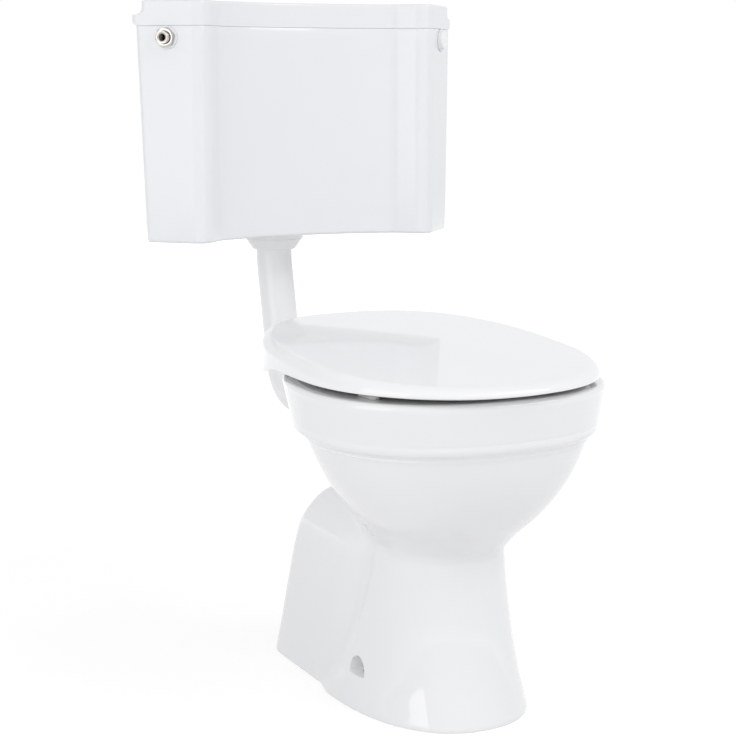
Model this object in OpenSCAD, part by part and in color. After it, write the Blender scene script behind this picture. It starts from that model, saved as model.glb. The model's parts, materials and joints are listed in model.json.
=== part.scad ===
// Corner toilet: floor-standing washdown pan, hinged seat and cover, flush pipe,
// and a low-level cistern shaped to hang in the corner of a room.
// Origin: on the floor, on the axis of the waste outlet. The front faces -Y.

/* [Pan rim] */
// Height of the rim above the floor
rim_z = 398; // [380:1:420]
// Half of the rim's greatest width
rim_half_w = 185; // [175:1:195]
// How far in front of the outlet the rim is widest
rim_widest = 188; // [175:1:200]
// How far in front of the outlet the rim reaches
rim_front = 354; // [342:1:375]
// How far behind the outlet the rim's oval would close
rim_rear = 44; // [38:1:50]
// Height of the upright band round the rim
band_h = 56; // [45:1:65]
// How much the band leans in towards its lower edge
band_lean = 9; // [4:0.5:14]
// Step from the band in to the bowl
band_step = 11; // [6:0.5:14]
// Rounding of the rim's top edge
rim_round = 7; // [3:0.5:10]
// Width of the flat rim between its outer edge and the opening
rim_land = 44; // [40:1:48]
// Depth of the lip that hangs inside the rim
lip_h = 36; // [25:1:45]

/* [Pan deck] */
// Half width of the deck that carries the seat hinges
deck_half_w = 97; // [95:1:102]
// Where the deck ends, behind the outlet
deck_rear = 44; // [40:1:47]
// Where the bowl opening ends and the deck begins, in front of the outlet
deck_front = 52; // [48:1:58]

/* [Pan bowl and foot] */
// Height of the narrow neck under the bowl
neck_z = 192; // [180:1:205]
// Half width of the neck
neck_half_w = 73; // [66:1:80]
// Front of the neck, in front of the outlet
neck_front = 255; // [250:1:268]
// Half width of the foot on the floor
foot_half_w = 114; // [105:1:122]
// Front of the foot, in front of the outlet
foot_front = 292; // [284:1:310]
// Thickness of the ceramic
wall = 11; // [9:0.5:12]
// Lowest point inside the bowl
sump_z = 45; // [40:1:50]

/* [Pan trap] */
// Height of the hump over the trap
crown_z = 250; // [244:1:258]
// Half width of the trap column on the floor
column_half_w = 106; // [100:1:112]
// Front of the trap column, in front of the outlet
column_front = 156; // [148:1:164]
// Back of the trap column, behind the outlet
column_rear = 99; // [95:1:106]
// Bore of the trap
trap_bore = 72; // [68:1:74]
// Radius of the bend over the weir, at the middle of the bore
trap_bend = 48; // [46:1:50]
// Slope of the trap's rising leg from level
trap_slope = 70; // [66:1:72]
// Outside diameter of the waste spigot
spigot_d = 102; // [98:1:106]
// Inside diameter of the waste spigot
spigot_bore = 84; // [80:1:90]

/* [Floor fixings] */
// Distance between the two holes for floor screws
floor_fix_spacing = 168; // [164:1:172]
// How far in front of the outlet the floor screws go
floor_fix_y = 146; // [138:1:152]
// Diameter of the floor screw holes
floor_fix_d = 8; // [6:0.5:9]
// Thickness of the foot under a screw head
floor_fix_ledge = 40; // [37:1:44]

/* [Seat] */
// Half of the cover's greatest width
cover_half_w = 176; // [170:1:180]
// How far in front of the outlet the cover is widest
cover_widest = 174; // [166:1:182]
// How far in front of the outlet the cover reaches
cover_front = 364; // [358:1:376]
// How far behind the outlet the cover reaches
cover_rear = 96; // [94:1:99]
// Height of the cover's edge above the rim
cover_lift = 7.5; // [6:0.5:9]
// Thickness of the cover's front edge
cover_edge = 10; // [9:0.5:12]
// Height of the cover's flat top above the rim at the hinge
cover_back_h = 46; // [44:0.5:48]
// Thickness of the cover's plastic
cover_wall = 3.5; // [3:0.5:4]
// Gap between the seat ring and the rim
ring_lift = 4; // [3.5:0.5:5]
// Half width of the hole in the seat ring
ring_hole_half_w = 112; // [105:1:118]

/* [Seat hinge] */
// Distance between the two hinge bolts
hinge_spacing = 155; // [150:1:160]
// Height of the hinge axis above the rim
hinge_h = 21; // [20:0.5:22]
// How far behind the outlet the hinge axis is
hinge_y = 64; // [62:0.5:66]
// Diameter of the hinge pins
pin_d = 8; // [7:0.5:9]
// Diameter of the hinge bolts
bolt_d = 8; // [6:0.5:9]

/* [Cistern] */
// Underside of the cistern above the floor
tank_z = 532; // [500:1:600]
// Height of the tank without its lid
tank_h = 278; // [260:1:300]
// Half of the distance between the two front corners
tank_half_w = 170; // [165:1:180]
// Where the front corners are, behind the outlet
tank_front = 162; // [156:1:172]
// Reach of the chamfered sides along X, at the top
side_top = 61; // [58:1:64]
// Reach of the chamfered sides along X, at the bottom
side_bottom = 54; // [50:1:57]
// Depth of the hollow front at its middle
front_hollow = 52; // [46:1:56]
// Width of the rounded post at each front corner
post_w = 24; // [20:1:28]
// Depth of the step from the post into the hollow front
post_step = 24; // [18:1:28]
// Thickness of the tank
tank_wall = 4; // [3:0.5:5]
// Length of the flat across the room's corner
corner_flat = 60; // [50:1:80]
// Height of the cistern lid
lid_h = 32; // [28:1:36]
// Reach of the lid's wall lip along X
lip_reach = 65; // [62:1:68]
// Overhang of the lid at the front
lid_over = 1.5; // [1:0.5:3]

/* [Flush] */
// Outlet of the cistern, behind the waste outlet
outlet_y = 313; // [307:1:318]
// Outside diameter of the flush pipe
pipe_d = 50; // [48:1:52]
// Wall of the flush pipe
pipe_wall = 2; // [1.5:0.5:3]
// Slope of the flush pipe from upright
pipe_slope = 12.75; // [8:0.25:14]
// Height of the flush inlet in the pan
horn_z = 308; // [304:1:312]
// Outside diameter of the flush inlet
horn_d = 62; // [58:1:64]
// Bore of the flush inlet
horn_bore = 46; // [42:1:49]
// Where the flush inlet ends, behind the waste outlet
horn_end = 70; // [66:1:76]
// Travel of the push button
button_travel = 8; // [6:1:9]
// Diameter of the push button
button_d = 38; // [34:1:42]

/* [Water inlet] */
// Height of the water inlet below the tank's top edge
inlet_drop = 15; // [14:0.5:20]
// Diameter of the inlet's threaded tail
tail_d = 16; // [14:0.5:18]
// Bore of the inlet's tail
tail_bore = 9; // [7:0.5:10]
// Width of the inlet nut across its flats
inlet_nut_af = 24; // [22:1:26]

/* [Hidden] */

$fn = 48;
// A little more, so that a cut goes right through
cut = 1;
// Clearances: a pin in its bore, a part beside its neighbour
pin_fit = 0.1;
side_gap = 0.5;
seat_gap = 0.3;

// ---- curves ----

// Which pair of rows of table t brackets x
function row_at(t, x, i = 0) =
    (i >= len(t) - 2 || x < t[i + 1][0]) ? i : row_at(t, x, i + 1);
function row_slope(t, c, i) =
    let (a = max(i - 1, 0), b = min(i + 1, len(t) - 1))
    (t[b][c] - t[a][c]) / (t[b][0] - t[a][0]);
// Smooth curve through column c of table t, read at x
function curve(t, c, x) =
    let (i = row_at(t, x), h = t[i + 1][0] - t[i][0])
    let (u = min(max((x - t[i][0]) / h, 0), 1))
    let (m0 = row_slope(t, c, i) * h, m1 = row_slope(t, c, i + 1) * h)
    (2*u*u*u - 3*u*u + 1) * t[i][c] + (u*u*u - 2*u*u + u) * m0
    + (3*u*u - 2*u*u*u) * t[i + 1][c] + (u*u*u - u*u) * m1;
function mix(a, b, u) = a + (b - a) * u;
function clamp01(u) = min(max(u, 0), 1);
function smooth01(u) = let (v = clamp01(u)) v * v * (3 - 2 * v);

// ---- closed skins made of rings of points ----

function flat(list) = [for (l = list) for (p = l) p];
function tri_band(n, i) =
    [for (j = [0:n - 1]) let (k = (j + 1) % n, a = 1 + i * n)
        each [[a + j, a + n + j, a + n + k], [a + j, a + n + k, a + k]]];
// Skin from one pole through the rings to another pole
module skin(start, rings, finish) {
    n = len(rings[0]);
    r = len(rings);
    last = 1 + (r - 1) * n;
    points = concat([start], flat(rings), [finish]);
    faces = concat(
        [for (j = [0:n - 1]) [0, 1 + j, 1 + (j + 1) % n]],
        flat([for (i = [0:r - 2]) tri_band(n, i)]),
        [for (j = [0:n - 1]) [last + j, last + n, last + (j + 1) % n]]
    );
    polyhedron(points, faces, convexity = 8);
}
// Skin of rings that closes on itself, as round a hole
module loop_skin(rings) {
    n = len(rings[0]);
    r = len(rings);
    faces = [for (i = [0:r - 1]) for (j = [0:n - 1])
        let (i2 = (i + 1) % r, k = (j + 1) % n)
        each [[i * n + j, i2 * n + j, i2 * n + k], [i * n + j, i2 * n + k, i * n + k]]];
    polyhedron(flat(rings), faces, convexity = 8);
}

// ---- the pan's outline at each height ----
// An oval is [half width, widest y, front y, rear y, front power, rear power].
// Its value is 0 on the outline and grows outwards, about in millimetres.
function oval(o, x, y) =
    let (front = y < o[1], reach = front ? o[1] - o[2] : o[3] - o[1])
    let (n = front ? o[4] : o[5])
    (pow(pow(abs(x) / o[0], n) + pow(abs(y - o[1]) / reach, n), 1 / n) - 1) * o[0];
// Joins two shapes with a fillet of about k
function join(a, b, k) =
    let (m = min(a, b)) m - k * ln(exp((m - a) / k) + exp((m - b) / k));
pan_fillet = 7;
pan_centre = -108;
out_of_reach = 420;
bisections = 15;
pan_steps = 64;
function shape(s, x, y) =
    let (a = oval(s[0], x, y))
    len(s) > 1 ? join(a, oval(s[1], x, y), pan_fillet) : a;
// Distance from the pan's centre line to the outline, along bearing t
function reach(s, t, lo = 0, hi = out_of_reach, n = bisections) =
    let (r = (lo + hi) / 2)
    n == 0 ? r
    : shape(s, r * cos(t), pan_centre + r * sin(t)) < 0 ? reach(s, t, r, hi, n - 1)
    : reach(s, t, lo, r, n - 1);
function bearing(j) = 360 * j / pan_steps;
function at(r, t, z) = [r * cos(t), pan_centre + r * sin(t), z];
// Ring of the pan's outside at height z, drawn in by an inset
function pan_ring(z, inset = 0) =
    let (s = section(z))
    [for (j = [0:pan_steps - 1]) at(reach(s, bearing(j)) - inset, bearing(j), z)];
// Ring of an oval about its own middle, grown by d
function oval_ring(o, z, d = 0) =
    [for (j = [0:pan_steps - 1])
        let (t = bearing(j), front = sin(t) < 0)
        let (n = front ? o[4] : o[5], h = (front ? o[1] - o[2] : o[3] - o[1]) + d)
        let (r = pow(pow(abs(cos(t)) / (o[0] + d), n) + pow(abs(sin(t)) / h, n), -1 / n))
        [r * cos(t), o[1] + r * sin(t), z]];

band_z = rim_z - band_h;
band_chamfer = 7;
bowl_top = band_z - band_chamfer;
bowl_half_w = rim_half_w - band_lean - band_step;
bowl_front = rim_front - band_lean - band_step + 5;
bowl_rear = -5;
neck_rear = -88;
neck_widest = -168;
foot_widest = -101;
foot_rear = -28;
// Under the band: share of height, then shares of width, centre, front and rear
bowl_profile = [
    [0.00, 0.00, 0.00, 0.00, 0.00],
    [0.06, 0.01, 0.25, 0.04, 0.12],
    [0.18, 0.14, 0.50, 0.21, 0.36],
    [0.34, 0.40, 0.70, 0.47, 0.59],
    [0.55, 0.65, 0.85, 0.73, 0.67],
    [0.76, 0.84, 0.95, 0.89, 0.75],
    [1.00, 1.00, 1.00, 1.00, 1.00],
];
// From the neck down: share of depth, then shares of width, centre, front and rear
foot_profile = [
    [0.00, 0.00, 0.00, 0.00, 0.00],
    [0.22, 0.15, 0.08, 0.00, 0.00],
    [0.48, 0.37, 0.22, 0.11, 0.17],
    [0.74, 0.62, 0.45, 0.43, 0.50],
    [0.92, 0.88, 0.82, 0.81, 0.83],
    [1.00, 1.00, 1.00, 1.00, 1.00],
];
// Trap column: share of height, then shares of half width, centre, front and rear
column_profile = [
    [0.00, 1.00, 1.00, 1.00, 1.00],
    [0.20, 0.94, 1.00, 1.00, 0.95],
    [0.40, 0.905, 1.00, 1.00, 0.88],
    [0.72, 0.85, 1.00, 0.975, 0.73],
    [0.84, 0.765, 0.83, 0.93, 0.63],
    [0.94, 0.62, 0.50, 0.83, 0.48],
    [1.00, 0.38, 0.25, 0.62, 0.24],
];
column_mid = -28;
column_root = -88;
front_power = 2.3;
side_power = 2;

function band_oval(z) =
    let (u = (rim_z - z) / band_h)
    [rim_half_w - band_lean * u, -rim_widest, band_lean * u - rim_front,
     rim_rear - 32 * u, front_power, side_power];
function bowl_oval(z) =
    let (u = (z - neck_z) / (bowl_top - neck_z))
    [mix(neck_half_w, bowl_half_w, curve(bowl_profile, 1, u)),
     mix(neck_widest, -rim_widest, curve(bowl_profile, 2, u)),
     mix(-neck_front, -bowl_front, curve(bowl_profile, 3, u)),
     mix(neck_rear, bowl_rear, curve(bowl_profile, 4, u)), front_power, side_power];
function foot_oval(z) =
    let (u = 1 - z / neck_z)
    [mix(neck_half_w, foot_half_w, curve(foot_profile, 1, u)),
     mix(neck_widest, foot_widest, curve(foot_profile, 2, u)),
     mix(-neck_front, -foot_front, curve(foot_profile, 3, u)),
     mix(neck_rear, foot_rear, curve(foot_profile, 4, u)), front_power, side_power];
function front_oval(z) =
    z >= band_z ? band_oval(z) : z >= neck_z ? bowl_oval(min(z, bowl_top)) : foot_oval(z);
function column_oval(z) =
    let (u = z / crown_z)
    [column_half_w * curve(column_profile, 1, u),
     mix(column_root, column_mid, curve(column_profile, 2, u)),
     mix(column_root, -column_front, curve(column_profile, 3, u)),
     mix(column_root, column_rear, curve(column_profile, 4, u)), 2.4, 10];
deck_root_z = 285;
function deck_oval(z) =
    let (u = clamp01((z - deck_root_z) / (bowl_top - deck_root_z)))
    [mix(40, deck_half_w, u), -38, -128, mix(-38, deck_rear, u), 4, 6];
function section(z) =
    z > deck_root_z ? [front_oval(z), deck_oval(z)]
    : z < crown_z ? [front_oval(z), column_oval(z)] : [front_oval(z)];

// ---- the pan's inside ----
opening = [rim_half_w - rim_land, -rim_widest + 5, rim_land - rim_front, -deck_front, 2.2, 2.4];
lip_z = rim_z - lip_h;
// Flushing channel behind the lip: its roof below the rim, and its width
channel_drop = 13;
channel_w = 31;
// Bowl inside: height, then half width, centre, front and rear
inside_profile = [
    [sump_z + 5, 22, -172, -205, -130],
    [sump_z + 19, 36, -172, -228, -100],
    [88, 44, -172, -236, -98],
    [106, 47, -180, -238, -120],
    [120, 50, -198, -240, -161],
    [135, 53, -196, -240, -156],
    [160, 56, -190, -240, -147],
    [190, 60, -184, -241, -134],
    [210, 67, -180, -251, -118],
    [228, 82, -178, -263, -92],
    [250, 102, -178, -279, -66],
    [280, 124, -181, -299, -52],
    [320, 145, -185, -320, -44],
    [band_z, 152, -186, -326, -38],
];
function inside_ring(z) =
    oval_ring([for (c = [1:4]) curve(inside_profile, c, z), 2.2, 2.2], z);

// ---- the hollow under the foot ----
hollow_low = sump_z - wall;
hollow_high = 160;
// What stays solid round the sump, the trap and the spigot
core = [[64, -140, -256, 56, 2.6, 3]];
// The hollow stays low beside the pockets of the floor screws
fix_bearing = atan2(-floor_fix_y - pan_centre, floor_fix_spacing / 2);
function beside_fixing(t) = smooth01((abs(sin(t) - sin(fix_bearing)) - 0.25) / 0.15);
function moat(t) =
    let (gap = reach(section(hollow_high), t) - wall - reach(core, t))
    mix(hollow_low, hollow_high, smooth01((gap - 10) / 16) * beside_fixing(t));
function hollow_wall(t, u) =
    let (z = moat(t) * u) at(reach(section(z), t) - wall, t, z);
function hollow_shoulder(t) =
    let (z = moat(t)) at(min(reach(core, t) + 8, reach(section(z), t) - wall - 1), t, z);

module pan_skin() {
    outer_z = [2, 8, 18, 32, 50, 72, 96, 120, 145, 170, 186, 196, 204, 212, 220, 228,
        236, 243, 249, 256, 266, 278, 291, 305, 320];
    steps = [0:pan_steps - 1];
    hollow = [
        for (s = [0.3, 0.65, 1]) [for (j = steps)
            at(reach(core, bearing(j)) * s, bearing(j), hollow_low)],
        [for (j = steps) hollow_shoulder(bearing(j))],
        for (u = [1, 0.7, 0.35, 0]) [for (j = steps) hollow_wall(bearing(j), u)],
    ];
    outside = [
        pan_ring(0, 1),
        for (z = outer_z) pan_ring(z),
        pan_ring(bowl_top),
        pan_ring(band_z, 3),
        pan_ring(band_z + 4),
        pan_ring(rim_z - 28),
        pan_ring(rim_z - rim_round),
        pan_ring(rim_z - 2, 0.3 * rim_round),
        pan_ring(rim_z, rim_round),
    ];
    rim_inside = [
        oval_ring(opening, rim_z, 5),
        oval_ring(opening, rim_z - 4),
        oval_ring(opening, lip_z + 3, -2),
        oval_ring(opening, lip_z, 1),
        oval_ring(opening, lip_z + 1, 7),
        oval_ring(opening, rim_z - channel_drop, 9),
        oval_ring(opening, rim_z - channel_drop, channel_w),
        oval_ring(opening, band_z + 8, channel_w - 7),
    ];
    bowl_inside = [for (i = [len(inside_profile) - 1:-1:0]) inside_ring(inside_profile[i][0])];
    skin([0, pan_centre, hollow_low], concat(hollow, outside, rim_inside, bowl_inside),
        [0, -172, sump_z]);
}
// The trap: a rise from the sump, a bend over the weir and a drop to the floor
trap_turn_z = crown_z - wall - trap_bore / 2 - 1 - trap_bend;
trap_rise = 94;
// The legs are a little wider than the bend and run on into it
leg_bore = trap_bore + 2;
leg_lap = 3;
module trap_down() {
    translate([0, 0, -cut]) cylinder(d = leg_bore, h = trap_turn_z + cut + leg_lap);
}
module trap_over() {
    translate([0, -trap_bend, trap_turn_z]) rotate([90, 0, 90])
        rotate_extrude(angle = 90 + trap_slope) translate([trap_bend, 0]) circle(d = trap_bore);
}
module trap_up() {
    translate([0, -trap_bend, trap_turn_z]) rotate([trap_slope, 0, 0])
        translate([0, leg_lap, trap_bend]) rotate([90, 0, 0]) {
            cylinder(d = leg_bore, h = trap_rise + leg_lap);
            translate([0, 0, trap_rise + leg_lap]) sphere(d = leg_bore + 3);
        }
}
// The waste socket's depth, and how far the horn reaches into the bowl's wall
spigot_depth = 60;
horn_root = -28;
// Seat bolts: their place, the underside of the deck there, and room for the nuts
bolt_y = 16;
bolt_seat_z = rim_z - 40;
nut_room_d = 34;
nut_room_h = 80;
bolt_hole_d = bolt_d + 4;
// Pocket over a floor screw's head, open at the side of the foot
pocket_d = 30;
pocket_h = 18;
pocket_out = 7;
foot_boss_d = 28;
module pan() {
    color("white") difference() {
        union() {
            pan_skin();
            cylinder(d = spigot_d, h = hollow_low + spigot_depth);
            translate([0, horn_end, horn_z]) rotate([90, 0, 0])
                cylinder(d = horn_d, h = horn_end - horn_root);
            for (s = [-1, 1]) translate([s * floor_fix_spacing / 2, -floor_fix_y, 0])
                cylinder(d = foot_boss_d, h = floor_fix_ledge);
        }
        trap_down();
        trap_over();
        trap_up();
        translate([0, 0, -cut]) cylinder(d = spigot_bore, h = spigot_depth + cut);
        translate([0, horn_end + cut, horn_z]) rotate([90, 0, 0])
            cylinder(d = horn_bore, h = horn_end + deck_front + 10);
        for (s = [-1, 1]) {
            translate([s * floor_fix_spacing / 2, -floor_fix_y, -cut])
                cylinder(d = floor_fix_d, h = floor_fix_ledge + 2 * cut);
            translate([s * (floor_fix_spacing / 2 + pocket_out), -floor_fix_y, floor_fix_ledge])
                cylinder(d = pocket_d, h = pocket_h);
            translate([s * hinge_spacing / 2, bolt_y, bolt_seat_z - cut])
                cylinder(d = bolt_hole_d, h = rim_z - bolt_seat_z + 2 * cut);
            translate([s * hinge_spacing / 2, bolt_y, bolt_seat_z - nut_room_h])
                cylinder(d = nut_room_d, h = nut_room_h);
        }
    }
}

// ---- seat ring and cover ----
// The cover's top climbs in a straight line from its front edge to the hinge
cover_base = rim_z + cover_lift;
cover_slope = (cover_back_h - cover_lift - cover_edge) / (hinge_y + cover_front);
cover_crown = 3.5;
function cover_line(y) = cover_base + cover_edge + cover_slope * (y + cover_front);
cover_outline = [cover_half_w, -cover_widest, -cover_front, cover_rear, 2.4, 2.65];
axis_z = rim_z + hinge_h;
// How far round from the side towards the back a bearing lies, in degrees
function to_back(t) = asin(sin(t));
// The edge's rounding widens, and its corners droop past the deck, towards the back
front_round = 9;
back_round = 27;
corner_droop = 21.5;
back_raise = 2.5;
function edge_round(t) = mix(front_round, back_round, smooth01((to_back(t) - 20) / 50));
function edge_z(t) =
    let (b = to_back(t))
    cover_base + back_raise * smooth01((b - 62) / 5)
    - corner_droop * smooth01((b - 34) / 14) * smooth01((67.4 - b) / 5);
// A point of the cover: inset from its outline, or a share of the way out to it
function cover_at(t, inset, share = 1) =
    let (p = oval_ring(cover_outline, 0)[round(t * pan_steps / 360)])
    let (v = [p[0], p[1] + cover_widest], r = norm(v), k = share * (1 - inset / r))
    [v[0] * k, v[1] * k - cover_widest, k];
function cover_top_z(c) = cover_line(c[1]) + cover_crown * (1 - c[2] * c[2]);
// Ring on the rounding of the edge, at angle a up from upright, inside by wall w
function edge_ring(a, w) =
    [for (j = [0:pan_steps - 1])
        let (t = bearing(j), r = edge_round(t))
        let (c = cover_at(t, w + (r - w) * (1 - cos(a))), z = cover_top_z(c))
        let (up = min(r, z - edge_z(t) - 2))
        [c[0], c[1], z - w - (up - w) * (1 - sin(a))]];
function top_ring(share, w) =
    [for (j = [0:pan_steps - 1])
        let (t = bearing(j), c = cover_at(t, edge_round(t), share))
        [c[0], c[1], cover_top_z(c) - w]];
function lower_ring(inset, up) =
    [for (j = [0:pan_steps - 1])
        let (c = cover_at(bearing(j), inset)) [c[0], c[1], edge_z(bearing(j)) + up]];
// Lugs on the hinge axis, from the middle of the pan outwards
lug_w = 12;
knuckle_r = 10.5;
cover_lug_x = 19;
ring_lug_x = cover_lug_x + lug_w + side_gap;
post_x = ring_lug_x + lug_w + side_gap;
post_w2 = 27;
module knuckle(x, w, r = knuckle_r) {
    translate([x, hinge_y, axis_z]) rotate([0, 90, 0]) cylinder(r = r, h = w);
}
module pin_hole(x, w) {
    knuckle(x - cut, w + 2 * cut, (pin_d + pin_fit) / 2);
}
module both_sides() {
    children();
    mirror([1, 0, 0]) children();
}
module seat_cover() {
    rings = [
        top_ring(0.35, cover_wall), top_ring(0.7, cover_wall),
        edge_ring(90, cover_wall), edge_ring(45, cover_wall), edge_ring(0, cover_wall),
        lower_ring(cover_wall - 0.7, 0),
        lower_ring(0.7, 0), lower_ring(0, 1), edge_ring(0, 0), edge_ring(24, 0),
        edge_ring(46, 0), edge_ring(68, 0), edge_ring(90, 0),
        top_ring(0.7, 0), top_ring(0.35, 0),
    ];
    middle_z = cover_line(-cover_widest) + cover_crown;
    rib_h = cover_line(hinge_y) - axis_z - 1;
    color("white") difference() {
        union() {
            skin([0, -cover_widest, middle_z - cover_wall], rings, [0, -cover_widest, middle_z]);
            both_sides() {
                knuckle(cover_lug_x, lug_w);
                translate([cover_lug_x, hinge_y - knuckle_r, axis_z])
                    cube([lug_w, 2 * knuckle_r, rib_h]);
            }
        }
        both_sides() pin_hole(cover_lug_x, lug_w);
    }
}
ring_z = rim_z + ring_lift;
ring_inset = 7;
ring_oval = [cover_half_w - ring_inset, -cover_widest, ring_inset - cover_front, -6, 2.4, 2.4];
hole_oval = [ring_hole_half_w, -cover_widest - 4, -298, -56, 2.2, 2.2];
ring_thick = 16;
under_cover = 2.5;
function ring_top(y) =
    min(cover_line(y) - cover_wall - under_cover, ring_z + ring_thick);
// Ring of the seat: an oval grown by d, at a share of the thickness less a drop
function seat_row(o, d, share, drop) =
    [for (p = oval_ring(o, 0, d)) [p[0], p[1], mix(ring_z, ring_top(p[1]), share) - drop]];
module seat_ring() {
    lug_front = -24;
    bar_h = 11;
    rings = [
        seat_row(hole_oval, 7, 0, 0), seat_row(ring_oval, -6, 0, 0),
        seat_row(ring_oval, -1.5, 0, -1.6), seat_row(ring_oval, 0, 0.5, 0),
        seat_row(ring_oval, -1.5, 1, 2.4), seat_row(ring_oval, -5, 1, 0.7),
        seat_row(ring_oval, -11, 1, 0), seat_row(hole_oval, 13, 1, 0),
        seat_row(hole_oval, 6, 1, 0.9), seat_row(hole_oval, 1.6, 1, 3),
        seat_row(hole_oval, 0, 0.4, 0), seat_row(hole_oval, 2, 0, -1.2),
    ];
    color("white") difference() {
        union() {
            loop_skin(rings);
            both_sides() {
                knuckle(ring_lug_x, lug_w);
                translate([ring_lug_x, lug_front, ring_z + 1.5])
                    cube([lug_w, hinge_y - lug_front, bar_h]);
            }
        }
        both_sides() pin_hole(ring_lug_x, lug_w);
    }
}
// Pads under the seat ring: their places on the rim, width and length
ring_pads = [[136, -268], [136, -110]];
pad_w = 13;
pad_l = 24;
module ring_buffers() {
    color("gainsboro") both_sides() for (p = ring_pads) translate([p[0], p[1], rim_z + seat_gap]) {
        cylinder(d = pad_w, h = ring_lift - seat_gap);
        translate([0, pad_l, 0]) cylinder(d = pad_w, h = ring_lift - seat_gap);
        translate([-pad_w / 2, 0, 0]) cube([pad_w, pad_l, ring_lift - seat_gap]);
    }
}
// Pads under the cover, which reach down to the seat ring
cover_pads = [[104, -300], [141, -226]];
function cover_share(p) =
    let (o = cover_outline, reach_y = o[1] - o[2])
    pow(pow(abs(p[0]) / o[0], o[4]) + pow(abs(p[1] - o[1]) / reach_y, o[4]), 1 / o[4]);
function under_cover_z(p) =
    cover_line(p[1]) + cover_crown * (1 - pow(cover_share(p), 2)) - cover_wall;
module cover_buffers() {
    color("gainsboro") both_sides() for (p = cover_pads) {
        low = ring_top(p[1] + pad_w / 2) + seat_gap;
        high = under_cover_z(p + [pad_w, -pad_w] / 2) - seat_gap;
        translate([p[0], p[1], low]) cylinder(d = pad_w, h = high - low);
    }
}

// ---- seat hinge ----
post_base_d = 34;
post_base_h = 6;
post_core_d = 18;
post_core_h = 13;
bolt_head_d = 14;
bolt_head_h = 4;
// The arm rises from the base to the knuckle, clear of the cover's rear skirt as it swings
module hinge_post() {
    bolt_x = hinge_spacing / 2;
    under = knuckle_r - 2;
    difference() {
        union() {
            translate([bolt_x, bolt_y, rim_z]) {
                cylinder(d = post_base_d, h = post_base_h);
                cylinder(d = post_core_d, h = post_core_h);
            }
            translate([post_x + post_w2 - lug_w, 0, 0]) rotate([90, 0, 90])
                linear_extrude(lug_w) polygon([
                    [bolt_y - 6, rim_z + 1], [bolt_y + 12, rim_z + 1],
                    [hinge_y - 15, axis_z - under - 4], [hinge_y, axis_z - under],
                    [hinge_y, axis_z + under], [bolt_y - 6, rim_z + post_core_h],
                ]);
            knuckle(post_x, post_w2);
        }
        pin_hole(post_x, post_w2 - 5);
        translate([bolt_x, bolt_y, rim_z - cut])
            cylinder(d = bolt_head_d + pin_fit, h = bolt_head_h + cut);
    }
}
module hinge_post_left() {
    color("whitesmoke") mirror([1, 0, 0]) hinge_post();
}
module hinge_post_right() {
    color("whitesmoke") hinge_post();
}
module hinge_pins() {
    color("silver") both_sides()
        knuckle(cover_lug_x - 2, post_x + post_w2 - 5 - cover_lug_x, pin_d / 2);
}
nut_h = 9;
nut_af = 22;
washer_h = 3;
washer_d = 30;
bolt_tail = 8;
module hinge_bolts() {
    nut_bottom = bolt_seat_z - washer_h - nut_h;
    color("silver") both_sides() translate([hinge_spacing / 2, bolt_y, 0]) {
        translate([0, 0, nut_bottom - bolt_tail])
            cylinder(d = bolt_d, h = rim_z - nut_bottom + bolt_tail);
        translate([0, 0, rim_z]) cylinder(d = bolt_head_d, h = bolt_head_h);
    }
}
module hinge_washers() {
    color("dimgray") both_sides() translate([hinge_spacing / 2, bolt_y, bolt_seat_z - washer_h])
        difference() {
            cylinder(d = washer_d, h = washer_h);
            translate([0, 0, -cut]) cylinder(d = bolt_d + 0.4, h = washer_h + 2 * cut);
        }
}
module hinge_nuts() {
    color("whitesmoke") both_sides()
        translate([hinge_spacing / 2, bolt_y, bolt_seat_z - washer_h - nut_h]) difference() {
            cylinder(d = nut_af / cos(30), h = nut_h, $fn = 6);
            translate([0, 0, -cut]) cylinder(d = bolt_d + pin_fit, h = nut_h + 2 * cut);
        }
}

// ---- cistern ----
tank_top = tank_z + tank_h;
tank_floor = 5;
nose_r = 10;
nose_x = tank_half_w - 7.6;
side_line = tank_half_w - tank_front;
nose_y = nose_x - side_line + nose_r * sqrt(2);
step_x = tank_half_w - post_w + 4;
hollow_x = step_x - 23;
function hollow_y(x) = tank_front + front_hollow - post_step * pow(x / hollow_x, 2);
function nose_at(t) = [nose_x + nose_r * cos(t), nose_y + nose_r * sin(t)];
// Right half of the plan, from the middle of the front to the flat at the back,
// with the chamfered side reaching a along X
function half_plan(a) = concat(
    [for (i = [0:8]) let (x = hollow_x * i / 8) [x, hollow_y(x)]],
    [for (i = [1:5]) let (u = i / 5)
        [mix(hollow_x, step_x, u), mix(hollow_y(hollow_x), nose_y - 4, smooth01(u))]],
    [for (i = [0:5]) nose_at(-130 + 17 * i)],
    let (x = tank_half_w + a, y = tank_front + a, c = corner_flat / 2)
    [[x - 5, y - 5], [x - 1.5, y], [x - 5, y + 5],
     [c + 3, x + y - c - 3], [c - 4, x + y - c - 0.5]]
);
function plan(a) =
    let (h = half_plan(a)) concat(h, [for (i = [len(h) - 1:-1:1]) [-h[i][0], h[i][1]]]);
function turn_left(v) = [-v[1], v[0]] / norm(v);
// Outline drawn in by d, each corner along its bisector
function drawn_in(p, d) =
    [for (i = [0:len(p) - 1])
        let (n = len(p), before = p[(i + n - 1) % n], after = p[(i + 1) % n])
        let (n1 = turn_left(p[i] - before), n2 = turn_left(after - p[i]))
        p[i] + (n1 + n2) * d / (1 + n1 * n2)];
function plan_ring(a, d, z) = [for (p = drawn_in(plan(a), d)) [p[0], p[1], z]];
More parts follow.
